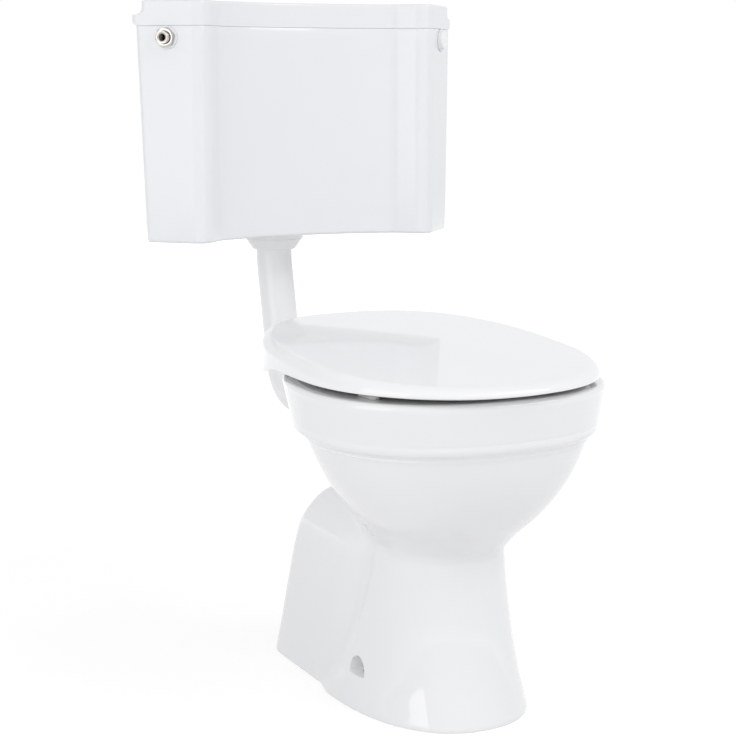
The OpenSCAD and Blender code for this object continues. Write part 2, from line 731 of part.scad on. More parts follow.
// Skin of rings, closed by a flat face at each end
module cup(rings) {
    n = len(rings[0]);
    r = len(rings);
    faces = concat(
        [[for (j = [0:n - 1]) j]],
        [for (i = [0:r - 2]) for (j = [0:n - 1])
            let (k = (j + 1) % n, a = i * n, b = a + n)
            each [[a + j, b + j, b + k], [a + j, b + k, a + k]]],
        [[for (j = [n - 1:-1:0]) (r - 1) * n + j]]
    );
    polyhedron(flat(rings), faces, convexity = 8);
}
function side_reach(z) = mix(side_bottom, side_top, (z - tank_z) / tank_h);
// Frame of the water inlet (left, -1) and of the plugged one (right, 1):
// Z goes in through the chamfered side, X goes down
inlet_along = (side_top + side_bottom) / 4 + 0.75;
inlet_z = tank_top - inlet_drop;
module inlet_frame(s) {
    translate([s * (tank_half_w + inlet_along), tank_front + inlet_along, inlet_z])
        rotate([0, 0, s < 0 ? 45 : 135]) rotate([0, 90, 0]) children();
}
inlet_boss_d = 30;
inlet_boss_h = 2.5;
inlet_hole_d = tail_d + 0.8;
// Wall fixings: a bush through each back wall, which stands on the room's wall
wall_fix_x = 115;
wall_fix_drop = 30;
wall_fix_d = 8;
wall_bush_d = 20;
wall_bush_l = 16;
bush_flange_d = 28;
bush_flange_h = 2.5;
// Play behind the flange, because the back walls lean
bush_flange_gap = 0.6;
lid_reach = lip_reach - lid_over;
wall_line = tank_half_w + tank_front + 2 * lid_reach + 1;
module wall_frame(s) {
    translate([s * wall_fix_x, wall_line - wall_fix_x, tank_top - wall_fix_drop])
        rotate([0, 0, s < 0 ? 135 : 45]) rotate([0, 90, 0]) translate([0, 0, -wall_bush_l])
        children();
}
// Cistern outlet
tail_r = 28;
tail_fit = 0.1;
module cistern_tank() {
    rings = [
        plan_ring(side_bottom, 4, tank_z),
        plan_ring(side_bottom, 1.2, tank_z + 1.2),
        plan_ring(side_reach(tank_z + 4), 0, tank_z + 4),
        plan_ring(side_top, 0, tank_top),
        plan_ring(side_top, tank_wall, tank_top),
        plan_ring(side_bottom, tank_wall, tank_z + tank_floor + 3),
        plan_ring(side_bottom, tank_wall + 3, tank_z + tank_floor),
    ];
    // One moulding, tank_h high from its rounded underside to the rim
    color("white") resize([0, 0, tank_h]) difference() {
        cup(rings);
        translate([0, outlet_y, tank_z - cut])
            cylinder(r = tail_r + tail_fit, h = tank_floor + 2 * cut);
        for (s = [-1, 1]) {
            inlet_frame(s) translate([0, 0, -cut]) cylinder(d = inlet_hole_d, h = tank_wall + 2 * cut);
            wall_frame(s) translate([0, 0, -cut])
                cylinder(d = wall_bush_d + 2 * seat_gap, h = wall_bush_l + 2 * cut);
        }
    }
}
// A ring round each inlet hole, flat against the tank's side
module inlet_collars() {
    color("white") for (s = [-1, 1]) inlet_frame(s) translate([0, 0, -inlet_boss_h]) difference() {
        cylinder(d = inlet_boss_d, h = inlet_boss_h);
        translate([0, 0, -cut]) cylinder(d = inlet_hole_d, h = inlet_boss_h + 2 * cut);
    }
}
module wall_bushes() {
    back_line = tank_half_w + tank_front + 2 * side_reach(tank_top - wall_fix_drop);
    proud = (wall_line - back_line) / sqrt(2);
    flange_z = wall_bush_l - proud - tank_wall - bush_flange_gap - bush_flange_h;
    color("white") for (s = [-1, 1]) wall_frame(s) difference() {
        union() {
            cylinder(d = wall_bush_d, h = wall_bush_l);
            translate([0, 0, flange_z]) cylinder(d = bush_flange_d, h = bush_flange_h);
        }
        translate([0, 0, -cut]) cylinder(d = wall_fix_d, h = wall_bush_l + 2 * cut);
    }
}
lid_wall = 3.5;
lid_z = tank_top + seat_gap;
lid_top = tank_top + lid_h;
wall_lip_h = 16;
// Bezel and button at the middle of the lid
bezel_fit = 0.35;
bezel_wall = 2.4;
bezel_r = button_d / 2 + bezel_fit + bezel_wall;
module cistern_lid() {
    cove = 11.5;
    inner = lid_wall - lid_over;
    rings = [
        plan_ring(lid_reach - cove, inner + 3, lid_top - lid_wall),
        plan_ring(lid_reach - cove, inner, lid_top - lid_wall - 3),
        plan_ring(lid_reach - cove, inner, lid_top - lid_wall - 8),
        plan_ring(lid_reach, inner, lid_z + wall_lip_h - lid_wall - 1),
        plan_ring(lid_reach, inner, lid_z),
        plan_ring(lid_reach, -lid_over, lid_z),
        plan_ring(lid_reach, -lid_over, lid_z + wall_lip_h - 1),
        plan_ring(lid_reach - 0.8, -lid_over, lid_z + wall_lip_h),
        plan_ring(lid_reach - 0.5 * cove, -lid_over, lid_z + wall_lip_h + 2.5),
        plan_ring(lid_reach - 0.85 * cove, -lid_over, lid_z + wall_lip_h + 7),
        plan_ring(lid_reach - cove, -lid_over, lid_top - 3),
        plan_ring(lid_reach - cove, 0.8 - lid_over, lid_top - 0.9),
        plan_ring(lid_reach - cove, 3 - lid_over, lid_top),
    ];
    color("white") difference() {
        cup(rings);
        translate([0, outlet_y, lid_top - 2 * lid_wall])
            cylinder(r = bezel_r + 0.2, h = 2 * lid_wall + cut);
    }
}

// ---- flush button ----
bezel_flange = 2.5;
bezel_ledge = 2.4;
button_rise = 0.5;
button_h = 10;
button_top = lid_top + bezel_flange + button_rise;
bezel_h = button_h + button_travel + bezel_ledge + 0.5;
module button_bezel() {
    inner_r = button_d / 2 + bezel_fit;
    bottom = lid_top + bezel_flange - bezel_h;
    color("silver") translate([0, outlet_y, 0]) difference() {
        union() {
            translate([0, 0, bottom]) cylinder(r = bezel_r, h = bezel_h);
            translate([0, 0, lid_top]) cylinder(r = bezel_r + 3.5, h = bezel_flange);
        }
        translate([0, 0, bottom + bezel_ledge]) cylinder(r = inner_r, h = bezel_h);
        translate([0, 0, bottom - cut]) cylinder(r = inner_r - 3, h = bezel_h);
    }
}
module push_button() {
    dish_r = 60;
    color("silver") translate([0, outlet_y, button_top - button_h]) difference() {
        rotate_extrude() polygon([
            [0, 0], [button_d / 2, 0], [button_d / 2, button_h - 1.2],
            [button_d / 2 - 0.4, button_h - 0.4], [button_d / 2 - 1.2, button_h], [0, button_h],
        ]);
        translate([0, 0, button_h + dish_r - 1.5]) sphere(r = dish_r);
    }
}

// ---- flush valve ----
// The lever turns by the same angle each side of level while the button travels
pivot_x = -20;
press_arm = 20;
lift_arm = 36;
lever_tilt = asin(button_travel / 2 / press_arm);
lever_t = 5;
lever_w = 8;
pivot_z = lid_top - 60;
lever_pin_d = 4;
rod_d = 8;
rod_tip_gap = 0.45;
press_z = pivot_z + press_arm * tan(lever_tilt) + lever_t / 2 / cos(lever_tilt) + rod_tip_gap;
module push_rod() {
    tip = press_z + rod_d / 2;
    color("whitesmoke") translate([0, outlet_y, 0]) {
        translate([0, 0, tip]) cylinder(d = rod_d, h = button_top - button_h - tip);
        translate([0, 0, tip]) sphere(d = rod_d);
        translate([0, 0, button_top - button_h - 2]) cylinder(d = 16, h = 2);
    }
}
valve_seat_z = tank_z + 16;
tube_r = 14;
tube_wall = 2;
tube_top = pivot_z - 12;
tail_bottom = tank_z - 20;
gasket_h = 2;
flange_r = 36;
flange_h = 4;
seat_rim = 27;
outlet_r = pipe_d / 2 - 1;
cheek = 3;
cheek_gap = 0.3;
module flush_valve_body() {
    flange_z = tank_z + tank_floor + gasket_h;
    bracket_w = lever_w + 2 * (cheek + cheek_gap);
    bracket_x = pivot_x - 6;
    color("whitesmoke") translate([0, outlet_y, 0]) difference() {
        union() {
            difference() {
                union() {
                    translate([0, 0, tail_bottom]) cylinder(r = tail_r, h = flange_z - tail_bottom);
                    translate([0, 0, flange_z]) cylinder(r = flange_r, h = flange_h);
                    translate([0, 0, flange_z]) cylinder(r = seat_rim, h = valve_seat_z - flange_z);
                }
                translate([0, 0, tail_bottom - cut]) cylinder(r = outlet_r, h = 80);
                translate([0, 0, tail_bottom - cut])
                    cylinder(r = (pipe_d + tail_fit) / 2, h = pipe_in + cut);
            }
            for (t = [0:90:270]) rotate([0, 0, t + 45]) translate([tube_r - 1, -1.5, flange_z])
                cube([outlet_r - tube_r + 2, 3, valve_seat_z - flange_z - 1]);
            translate([0, 0, flange_z]) cylinder(r = tube_r, h = tube_top - flange_z);
            translate([bracket_x, -bracket_w / 2, tube_top - 20])
                cube([-tube_r + 1 - bracket_x, bracket_w, 20]);
            translate([bracket_x, -bracket_w / 2, tube_top - 1])
                cube([12, bracket_w, pivot_z - tube_top + 6]);
        }
        translate([0, 0, tail_bottom]) cylinder(r = tube_r - tube_wall, h = tube_top);
        translate([bracket_x - cut, -lever_w / 2 - cheek_gap, tube_top + 2])
            cube([12 + 2 * cut, lever_w + 2 * cheek_gap, 30]);
        translate([pivot_x, bracket_w / 2 + cut, pivot_z]) rotate([90, 0, 0])
            cylinder(d = lever_pin_d + pin_fit, h = bracket_w + 2 * cut);
    }
}
module lever_pin() {
    pin_l = lever_w + 2 * (cheek + cheek_gap) + 2;
    color("silver") translate([pivot_x, outlet_y + pin_l / 2, pivot_z]) rotate([90, 0, 0])
        cylinder(d = lever_pin_d, h = pin_l);
}
lift_rod_d = 5;
fork_w = 16;
module valve_lever() {
    fork_gap = lift_rod_d + 0.8;
    color("whitesmoke") translate([pivot_x, outlet_y, pivot_z]) rotate([0, -lever_tilt, 0])
        difference() {
            union() {
                translate([-lift_arm, -lever_w / 2, -lever_t / 2])
                    cube([lift_arm + press_arm, lever_w, lever_t]);
                translate([press_arm, 0, -lever_t / 2]) cylinder(d = lever_w, h = lever_t);
                translate([-lift_arm, 0, -lever_t / 2]) cylinder(d = fork_w, h = lever_t);
            }
            translate([-lift_arm - fork_w, -fork_gap / 2, -lever_t])
                cube([fork_w + 4, fork_gap, 2 * lever_t]);
            translate([0, lever_w, 0]) rotate([90, 0, 0])
                cylinder(d = lever_pin_d + pin_fit, h = 2 * lever_w);
        }
}
seal_h = 3;
bell_r = 31;
bell_z = valve_seat_z + seat_gap + seal_h;
sleeve_h = 84;
module valve_seal() {
    color("dimgray") translate([0, outlet_y, valve_seat_z + seat_gap]) difference() {
        cylinder(r = bell_r, h = seal_h);
        translate([0, 0, -cut]) cylinder(r = tube_r + 1, h = seal_h + 2 * cut);
    }
}
module valve_bell() {
    tab_h = 4;
    rod_x = pivot_x - lift_arm;
    head_r = 4.5;
    head_z = pivot_z - (lift_arm - head_r) * tan(lever_tilt) + lever_t / 2 / cos(lever_tilt) + 0.5;
    color("whitesmoke") translate([0, outlet_y, 0]) {
        difference() {
            union() {
                translate([0, 0, bell_z]) cylinder(r = bell_r, h = tab_h);
                translate([0, 0, bell_z]) cylinder(r = tube_r + 5, h = sleeve_h);
                translate([rod_x - 5, -5, bell_z]) cube([-rod_x - tube_r, 10, tab_h]);
            }
            translate([0, 0, bell_z - cut]) cylinder(r = tube_r + 1, h = sleeve_h + 2 * cut);
        }
        translate([rod_x, 0, bell_z + 1]) cylinder(d = lift_rod_d, h = head_z - bell_z);
        translate([rod_x, 0, head_z]) cylinder(r = head_r, h = 3);
    }
}

// ---- outlet fittings and flush pipe ----
collar_d = 92;
collar_h = 11;
pipe_nut_h = 15;
nut_lip = 3;
pipe_seal_h = 3;
pipe_in = 5;
module outlet_gasket() {
    color("dimgray") translate([0, outlet_y, tank_z + tank_floor]) difference() {
        cylinder(r = flange_r, h = gasket_h);
        translate([0, 0, -cut]) cylinder(r = tail_r + tail_fit, h = gasket_h + 2 * cut);
    }
}
module outlet_locknut() {
    color("white") translate([0, outlet_y, tank_z - collar_h]) difference() {
        cylinder(d = collar_d, h = collar_h);
        translate([0, 0, -cut]) cylinder(r = tail_r + tail_fit, h = collar_h + 2 * cut);
    }
}
module pipe_nut() {
    top_r = collar_d / 2 - 3;
    low_r = 35;
    bottom = tank_z - collar_h - pipe_nut_h;
    color("white") translate([0, outlet_y, bottom]) difference() {
        rotate_extrude() polygon([
            [0, 0], [low_r - 1.5, 0], [low_r, 1.5], [top_r - 4, pipe_nut_h - 6],
            [top_r, pipe_nut_h - 5], [top_r, pipe_nut_h], [0, pipe_nut_h],
        ]);
        translate([0, 0, -cut]) cylinder(d = pipe_d + 0.6, h = pipe_nut_h);
        translate([0, 0, nut_lip]) cylinder(r = tail_r + tail_fit, h = pipe_nut_h);
    }
}
module pipe_seal() {
    color("dimgray") translate([0, outlet_y, tail_bottom - pipe_seal_h]) difference() {
        cylinder(r = tail_r, h = pipe_seal_h);
        translate([0, 0, -cut]) cylinder(d = pipe_d + tail_fit, h = pipe_seal_h + 2 * cut);
    }
}
// The pipe runs down, slopes forward, and turns level into the pan's horn
upper_bend = 120;
lower_bend = 55;
upper_z = 490;
pipe_end = horn_end + 4;
lower_y = outlet_y - (upper_z - horn_z) * tan(pipe_slope);
// Places a cylinder from a along direction v, tilted in the YZ plane from down
module run(a, tilt, l, d) {
    translate([0, a[0], a[1]]) rotate([-tilt, 0, 0]) translate([0, 0, -l]) cylinder(d = d, h = l);
}
// Bend that starts at a, going down tilted by t0, and turns forward by turn
module bend(a, t0, turn, r, d) {
    translate([0, a[0] - r * cos(t0), a[1] + r * sin(t0)])
        rotate([90, 0, 90]) rotate([0, 0, -t0 - turn]) rotate_extrude(angle = turn)
        translate([r, 0]) circle(d = d);
}
function down(t) = [-sin(t), -cos(t)];
// The bends are a little thicker than the straight runs, which end inside them
bend_lap = 2;
bend_step = 0.8;
module pipe_path(d, bend_d, extra) {
    upper_tangent = upper_bend * tan(pipe_slope / 2);
    lower_turn = 90 - pipe_slope;
    lower_tangent = lower_bend * tan(lower_turn / 2);
    top = [outlet_y, tail_bottom + pipe_in - 0.3];
    bend1 = [outlet_y, upper_z + upper_tangent];
    slope1 = [outlet_y, upper_z] + upper_tangent * down(pipe_slope);
    bend2 = [lower_y, horn_z] - lower_tangent * down(pipe_slope);
    level = [lower_y - lower_tangent, horn_z];
    run([top[0], top[1] + extra], 0, top[1] + extra - bend1[1] + bend_lap, d);
    bend(bend1, 0, pipe_slope, upper_bend, bend_d);
    run(slope1 - bend_lap * down(pipe_slope), pipe_slope,
        norm(bend2 - slope1) + 2 * bend_lap, d);
    bend(bend2, pipe_slope, lower_turn, lower_bend, bend_d);
    run([level[0] + bend_lap, level[1]], 90, level[0] - pipe_end + bend_lap + extra, d);
}
module flush_pipe() {
    color("white") difference() {
        pipe_path(pipe_d, pipe_d + bend_step, 0);
        pipe_path(pipe_d - 2 * pipe_wall, pipe_d - 2 * pipe_wall - bend_step, cut);
    }
}
cone_wall = 5;
cone_over = 18;
cone_l = 45;
module flush_cone() {
    front = horn_end - cone_over;
    horn_r = horn_d / 2;
    color("gainsboro") translate([0, front, horn_z]) rotate([-90, 0, 0]) difference() {
        rotate_extrude() polygon([
            [0, 0], [horn_r + cone_wall - 1.5, 0], [horn_r + cone_wall, 1.5],
            [horn_r + cone_wall, cone_over + 4], [pipe_d / 2 + cone_wall, cone_l - 8],
            [pipe_d / 2 + cone_wall, cone_l - 1.5], [pipe_d / 2 + cone_wall - 1.5, cone_l],
            [0, cone_l],
        ]);
        translate([0, 0, -cut]) cylinder(r = horn_r + tail_fit / 2, h = cone_over + cut + 0.1);
        translate([0, 0, -cut]) cylinder(d = pipe_d + tail_fit, h = cone_l + 2 * cut);
    }
}

// ---- water inlet and fill valve ----
inlet_nut_h = 8;
tail_out = 13;
tail_in = 20;
inlet_washer_h = 2;
module inlet_tail() {
    out = inlet_boss_h + inlet_nut_h + 0.5;
    color("gold") inlet_frame(-1) difference() {
        union() {
            translate([0, 0, -out - tail_out]) cylinder(d = tail_d + 0.6, h = tail_out);
            translate([0, 0, -out]) cylinder(d = tail_d, h = out + tail_in);
        }
        translate([0, 0, -out - tail_out - cut])
            cylinder(d = tail_bore, h = out + tail_out + tail_in + 2 * cut);
    }
}
module inlet_nut() {
    color("white") inlet_frame(-1) translate([0, 0, -inlet_boss_h - inlet_nut_h]) difference() {
        cylinder(d = inlet_nut_af / cos(30), h = inlet_nut_h, $fn = 6);
        translate([0, 0, -cut]) cylinder(d = tail_d + pin_fit, h = inlet_nut_h + 2 * cut);
    }
}
module inlet_washer() {
    color("dimgray") inlet_frame(-1) translate([0, 0, tank_wall]) difference() {
        cylinder(d = inlet_boss_d - 2, h = inlet_washer_h);
        translate([0, 0, -cut]) cylinder(d = tail_d + pin_fit, h = inlet_washer_h + 2 * cut);
    }
}
// Fill valve, in the inlet's frame: body, head, hush tube and arm bracket
valve_start = tank_wall + inlet_washer_h;
valve_r = 11;
head_r = 14;
head_start = 44;
head_l = 18;
arm_in = 54;
arm_down = 20;
arm_w = 7;
arm_pin_d = 5;
eye_r = 6;
module fill_valve() {
    bracket_w = arm_w + 2 * (cheek + cheek_gap);
    hush_in = 30;
    hush_l = 160;
    color("whitesmoke") inlet_frame(-1) difference() {
        union() {
            translate([0, 0, valve_start]) cylinder(d = inlet_boss_d - 2, h = 4);
            translate([0, 0, valve_start]) cylinder(r = valve_r, h = head_start - valve_start + 1);
            translate([0, 0, head_start]) cylinder(r = head_r, h = head_l);
            translate([0, 0, hush_in]) rotate([0, 90, 0]) cylinder(r = 7, h = hush_l);
            translate([0, -bracket_w / 2, arm_in - 8]) cube([arm_down + 5, bracket_w, 16]);
        }
        translate([0, 0, valve_start - cut])
            cylinder(d = tail_d + pin_fit, h = tail_in - valve_start + cut + 1);
        translate([0, 0, valve_start]) cylinder(d = tail_bore, h = hush_in - valve_start);
        translate([0, 0, hush_in]) rotate([0, 90, 0]) cylinder(r = 5, h = hush_l + cut);
        translate([arm_down - eye_r - 1, -arm_w / 2 - cheek_gap, arm_in - 9])
            cube([20, arm_w + 2 * cheek_gap, 30]);
        translate([arm_down, bracket_w / 2 + cut, arm_in]) rotate([90, 0, 0])
            cylinder(d = arm_pin_d + pin_fit, h = bracket_w + 2 * cut);
    }
}
module arm_pin() {
    l = arm_w + 2 * (cheek + cheek_gap) + 2;
    color("silver") inlet_frame(-1) translate([arm_down, l / 2, arm_in]) rotate([90, 0, 0])
        cylinder(d = arm_pin_d, h = l);
}
arm_l = 75;
arm_t = 5;
float_d = 56;
float_h = 60;
// The cistern is empty, so the arm hangs this far below level
float_sweep = 25;
module arm_frame() {
    inlet_frame(-1) translate([arm_down, 0, arm_in]) rotate([0, float_sweep, 0]) children();
}
module float_arm() {
    color("whitesmoke") arm_frame() difference() {
        union() {
            translate([0, arm_w / 2, 0]) rotate([90, 0, 0]) cylinder(r = eye_r, h = arm_w);
            translate([-arm_t / 2, -arm_w / 2, 0]) cube([arm_t, arm_w, arm_l]);
            translate([-arm_t / 2, 0, arm_l]) rotate([0, 90, 0]) cylinder(r = 9, h = arm_t);
        }
        translate([0, arm_w, 0]) rotate([90, 0, 0])
            cylinder(d = arm_pin_d + pin_fit, h = 2 * arm_w);
    }
}
module float() {
    edge = 5;
    r = float_d / 2;
    color("lightsteelblue") arm_frame() translate([arm_t / 2, 0, arm_l]) rotate([0, 90, 0])
        rotate_extrude() polygon(concat(
            [[0, 0]],
            [for (i = [0:4]) let (t = 22.5 * i) [r - edge + edge * sin(t), edge - edge * cos(t)]],
            [for (i = [0:4]) let (t = 22.5 * i)
                [r - edge + edge * cos(t), float_h - edge + edge * sin(t)]],
            [[0, float_h]]
        ));
}
module blanking_plug() {
    cap_h = 5;
    color("white") inlet_frame(1) {
        translate([0, 0, -inlet_boss_h - cap_h]) cylinder(d = inlet_nut_af + 2, h = cap_h);
        translate([0, 0, -inlet_boss_h - 1]) cylinder(d = tail_d, h = inlet_boss_h + tank_wall + 6);
        translate([0, 0, tank_wall + 0.2]) cylinder(d = tail_d + 4, h = 3);
    }
}

pan();
seat_ring();
seat_cover();
ring_buffers();
cover_buffers();
hinge_post_left();
hinge_post_right();
hinge_pins();
hinge_bolts();
hinge_washers();
hinge_nuts();
cistern_tank();
inlet_collars();
wall_bushes();
cistern_lid();
push_button();
button_bezel();
push_rod();
flush_valve_body();
valve_lever();
lever_pin();
valve_bell();
valve_seal();
outlet_gasket();
outlet_locknut();
pipe_nut();
pipe_seal();
flush_pipe();
flush_cone();
inlet_tail();
inlet_nut();
inlet_washer();
fill_valve();
arm_pin();
float_arm();
float();
blanking_plug();
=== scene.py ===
import json
import math

import bmesh
import bpy
import numpy as np
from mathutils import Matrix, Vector


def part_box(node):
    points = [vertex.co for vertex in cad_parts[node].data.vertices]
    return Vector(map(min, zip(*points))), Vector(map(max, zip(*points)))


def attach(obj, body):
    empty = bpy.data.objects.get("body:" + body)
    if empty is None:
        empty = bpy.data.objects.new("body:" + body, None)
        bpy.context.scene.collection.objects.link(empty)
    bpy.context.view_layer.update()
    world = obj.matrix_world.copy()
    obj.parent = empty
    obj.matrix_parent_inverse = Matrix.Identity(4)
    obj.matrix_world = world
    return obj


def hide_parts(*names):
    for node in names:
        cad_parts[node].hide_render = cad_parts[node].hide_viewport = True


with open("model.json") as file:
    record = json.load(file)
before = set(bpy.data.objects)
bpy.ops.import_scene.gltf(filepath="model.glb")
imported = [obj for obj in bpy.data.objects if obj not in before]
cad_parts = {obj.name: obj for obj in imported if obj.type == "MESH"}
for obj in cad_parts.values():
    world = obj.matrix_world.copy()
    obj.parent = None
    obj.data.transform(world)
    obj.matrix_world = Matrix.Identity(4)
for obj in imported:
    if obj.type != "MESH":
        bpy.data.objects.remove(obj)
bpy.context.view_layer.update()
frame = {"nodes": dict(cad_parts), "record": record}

# ------------------------------------------------------------------ the pan
# One casting of vitreous china with thick walls, glazed white all over. Its rim band, bowl,
# foot and the hump over the trap flow into each other, and it stands on the edge of the foot.
MM = 0.001
RIM_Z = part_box("pan")[1].z / MM
PAN_MIDDLE = -108
BAND_H, BAND_LEAN, BAND_STEP = 56, 9, 11
RIM_HALF_W, RIM_WIDEST, RIM_FRONT, RIM_REAR = 185, 188, 354, 44
RIM_ROUND, RIM_LAND, LIP_H = 7, 44, 36
DECK_HALF_W, DECK_REAR, DECK_FRONT, DECK_ROOT = 97, 44, 52, 285
NECK_Z, NECK_HALF_W, NECK_FRONT, NECK_REAR, NECK_WIDEST = 192, 73, 255, -88, -168
FOOT_HALF_W, FOOT_FRONT, FOOT_REAR, FOOT_WIDEST = 114, 292, -28, -101
CROWN_Z, COLUMN_HALF_W, COLUMN_FRONT, COLUMN_REAR = 250, 106, 156, 99
COLUMN_MIDDLE, COLUMN_ROOT = -28, -88
BAND_Z = RIM_Z - BAND_H
BOWL_TOP = BAND_Z - 7
PAN_FILLET = 7
WALL = 11
SUMP_Z = 45
# Shares of height, then of width, middle, front and rear
BOWL_PROFILE = [
    [0.00, 0.00, 0.00, 0.00, 0.00],
    [0.06, 0.01, 0.25, 0.04, 0.12],
    [0.18, 0.14, 0.50, 0.21, 0.36],
    [0.34, 0.40, 0.70, 0.47, 0.59],
    [0.55, 0.65, 0.85, 0.73, 0.67],
    [0.76, 0.84, 0.95, 0.89, 0.75],
    [1.00, 1.00, 1.00, 1.00, 1.00],
]
FOOT_PROFILE = [
    [0.00, 0.00, 0.00, 0.00, 0.00],
    [0.22, 0.15, 0.08, 0.00, 0.00],
    [0.48, 0.37, 0.22, 0.11, 0.17],
    [0.74, 0.62, 0.45, 0.43, 0.50],
    [0.92, 0.88, 0.82, 0.81, 0.83],
    [1.00, 1.00, 1.00, 1.00, 1.00],
]
COLUMN_PROFILE = [
    [0.00, 1.00, 1.00, 1.00, 1.00],
    [0.20, 0.94, 1.00, 1.00, 0.95],
    [0.40, 0.905, 1.00, 1.00, 0.88],
    [0.72, 0.85, 1.00, 0.975, 0.73],
    [0.84, 0.765, 0.83, 0.93, 0.63],
    [0.94, 0.62, 0.50, 0.83, 0.48],
    [1.00, 0.38, 0.25, 0.62, 0.24],
]
# Height inside the bowl, then half width, middle, front and rear
INSIDE_PROFILE = [
    [SUMP_Z + 5, 22, -172, -205, -130],
    [SUMP_Z + 19, 36, -172, -228, -100],
    [88, 44, -172, -236, -98],
    [106, 47, -180, -238, -120],
    [120, 50, -198, -240, -161],
    [135, 53, -196, -240, -156],
    [160, 56, -190, -240, -147],
    [190, 60, -184, -241, -134],
    [210, 67, -180, -251, -118],
    [228, 82, -178, -263, -92],
    [250, 102, -178, -279, -66],
    [280, 124, -181, -299, -52],
    [320, 145, -185, -320, -44],
    [BAND_Z, 152, -186, -326, -38],
]


def mix(a, b, share):
    return a + (b - a) * share


def smooth(share):
    """Zero below 0, one above 1, and 3s^2 - 2s^3 between."""
    s = np.clip(share, 0, 1)
    return s * s * (3 - 2 * s)


def through(table, column, x):
    """Cubics through a table's rows. The slope at a row is that of the line between its two
    neighbours, and past both ends the curve stays level."""
    rows = np.asarray(table, float)
    xs, ys = rows[:, 0], rows[:, column]
    slope = np.gradient(ys, xs)
    slope[1:-1] = (ys[2:] - ys[:-2]) / (xs[2:] - xs[:-2])
    i = np.clip(np.searchsorted(xs, x, side="right") - 1, 0, len(xs) - 2)
    step = xs[i + 1] - xs[i]
    u = np.clip((x - xs[i]) / step, 0, 1)
    flat_part = (2 * u**3 - 3 * u**2 + 1) * ys[i] + (3 * u**2 - 2 * u**3) * ys[i + 1]
    return flat_part + step * ((u**3 - 2 * u**2 + u) * slope[i] + (u**3 - u**2) * slope[i + 1])


def oval_value(oval, x, y):
    """Zero on an egg-shaped oval and growing outwards: the p-norm of a point's shares of the
    half width and of the length before or behind the widest place, less one, in millimetres."""
    half, middle, front, rear, front_power, rear_power = oval
    ahead = y < middle
    length = np.where(ahead, middle - front, rear - middle)
    n = np.where(ahead, front_power, rear_power)
    return (((np.abs(x) / half) ** n + (np.abs(y - middle) / length) ** n) ** (1 / n) - 1) * half


def front_oval(z):
    """The oval of the rim band, of the bowl below it, or of the foot, at height z."""
    down = (RIM_Z - z) / BAND_H
    band = [RIM_HALF_W - BAND_LEAN * down, -RIM_WIDEST + 0 * z, BAND_LEAN * down - RIM_FRONT,
            RIM_REAR - 32 * down]
    up = (np.minimum(z, BOWL_TOP) - NECK_Z) / (BOWL_TOP - NECK_Z)
    inset = BAND_LEAN + BAND_STEP
    bowl = [mix(NECK_HALF_W, RIM_HALF_W - inset, through(BOWL_PROFILE, 1, up)),
            mix(NECK_WIDEST, -RIM_WIDEST, through(BOWL_PROFILE, 2, up)),
            mix(-NECK_FRONT, inset - 5 - RIM_FRONT, through(BOWL_PROFILE, 3, up)),
            mix(NECK_REAR, -5, through(BOWL_PROFILE, 4, up))]
    low = 1 - z / NECK_Z
    foot = [mix(NECK_HALF_W, FOOT_HALF_W, through(FOOT_PROFILE, 1, low)),
            mix(NECK_WIDEST, FOOT_WIDEST, through(FOOT_PROFILE, 2, low)),
            mix(-NECK_FRONT, -FOOT_FRONT, through(FOOT_PROFILE, 3, low)),
            mix(NECK_REAR, FOOT_REAR, through(FOOT_PROFILE, 4, low))]
    parts = [np.where(z >= BAND_Z, a, np.where(z >= NECK_Z, b, c))
             for a, b, c in zip(band, bowl, foot)]
    return [*parts, 2.3, 2.0]


def pan_value(z, x, y):
    """The front oval, joined to the deck's oval above or to the trap column's below, by a fillet:
    the two values' softened minimum, minus the log of the sum of their exponentials."""
    up = np.clip((z - DECK_ROOT) / (BOWL_TOP - DECK_ROOT), 0, 1)
    deck = [mix(40, DECK_HALF_W, up), -38, -128, mix(-38, DECK_REAR, up), 4, 6]
    share = z / CROWN_Z
    column = [COLUMN_HALF_W * through(COLUMN_PROFILE, 1, share),
              mix(COLUMN_ROOT, COLUMN_MIDDLE, through(COLUMN_PROFILE, 2, share)),
              mix(COLUMN_ROOT, -COLUMN_FRONT, through(COLUMN_PROFILE, 3, share)),
              mix(COLUMN_ROOT, COLUMN_REAR, through(COLUMN_PROFILE, 4, share)), 2.4, 10]
    a = oval_value(front_oval(z), x, y)
    b = np.where(z > DECK_ROOT, oval_value(deck, x, y),
                 np.where(z < CROWN_Z, oval_value(column, x, y), np.inf))
    least = np.minimum(a, b)
    return least - PAN_FILLET * np.log(
        np.exp((least - a) / PAN_FILLET) + np.exp((least - b) / PAN_FILLET))


def reach(value, z, t):
    """Distance along bearing t from the pan's middle to where value crosses zero, by halving."""
    low = np.zeros(np.broadcast_shapes(np.shape(z), np.shape(t)))
    high = low + 420
    for _ in range(24):
        r = (low + high) / 2
        inside = value(z, r * np.cos(t), PAN_MIDDLE + r * np.sin(t)) < 0
        low, high = np.where(inside, r, low), np.where(inside, high, r)
    return low


def ring_at(r, t, z):
    """Points at distance r and bearing t from the pan's middle, at height z."""
    r, t, z = np.broadcast_arrays(r, t, z)
    return np.stack([r * np.cos(t), PAN_MIDDLE + r * np.sin(t), z], axis=-1).astype(float)


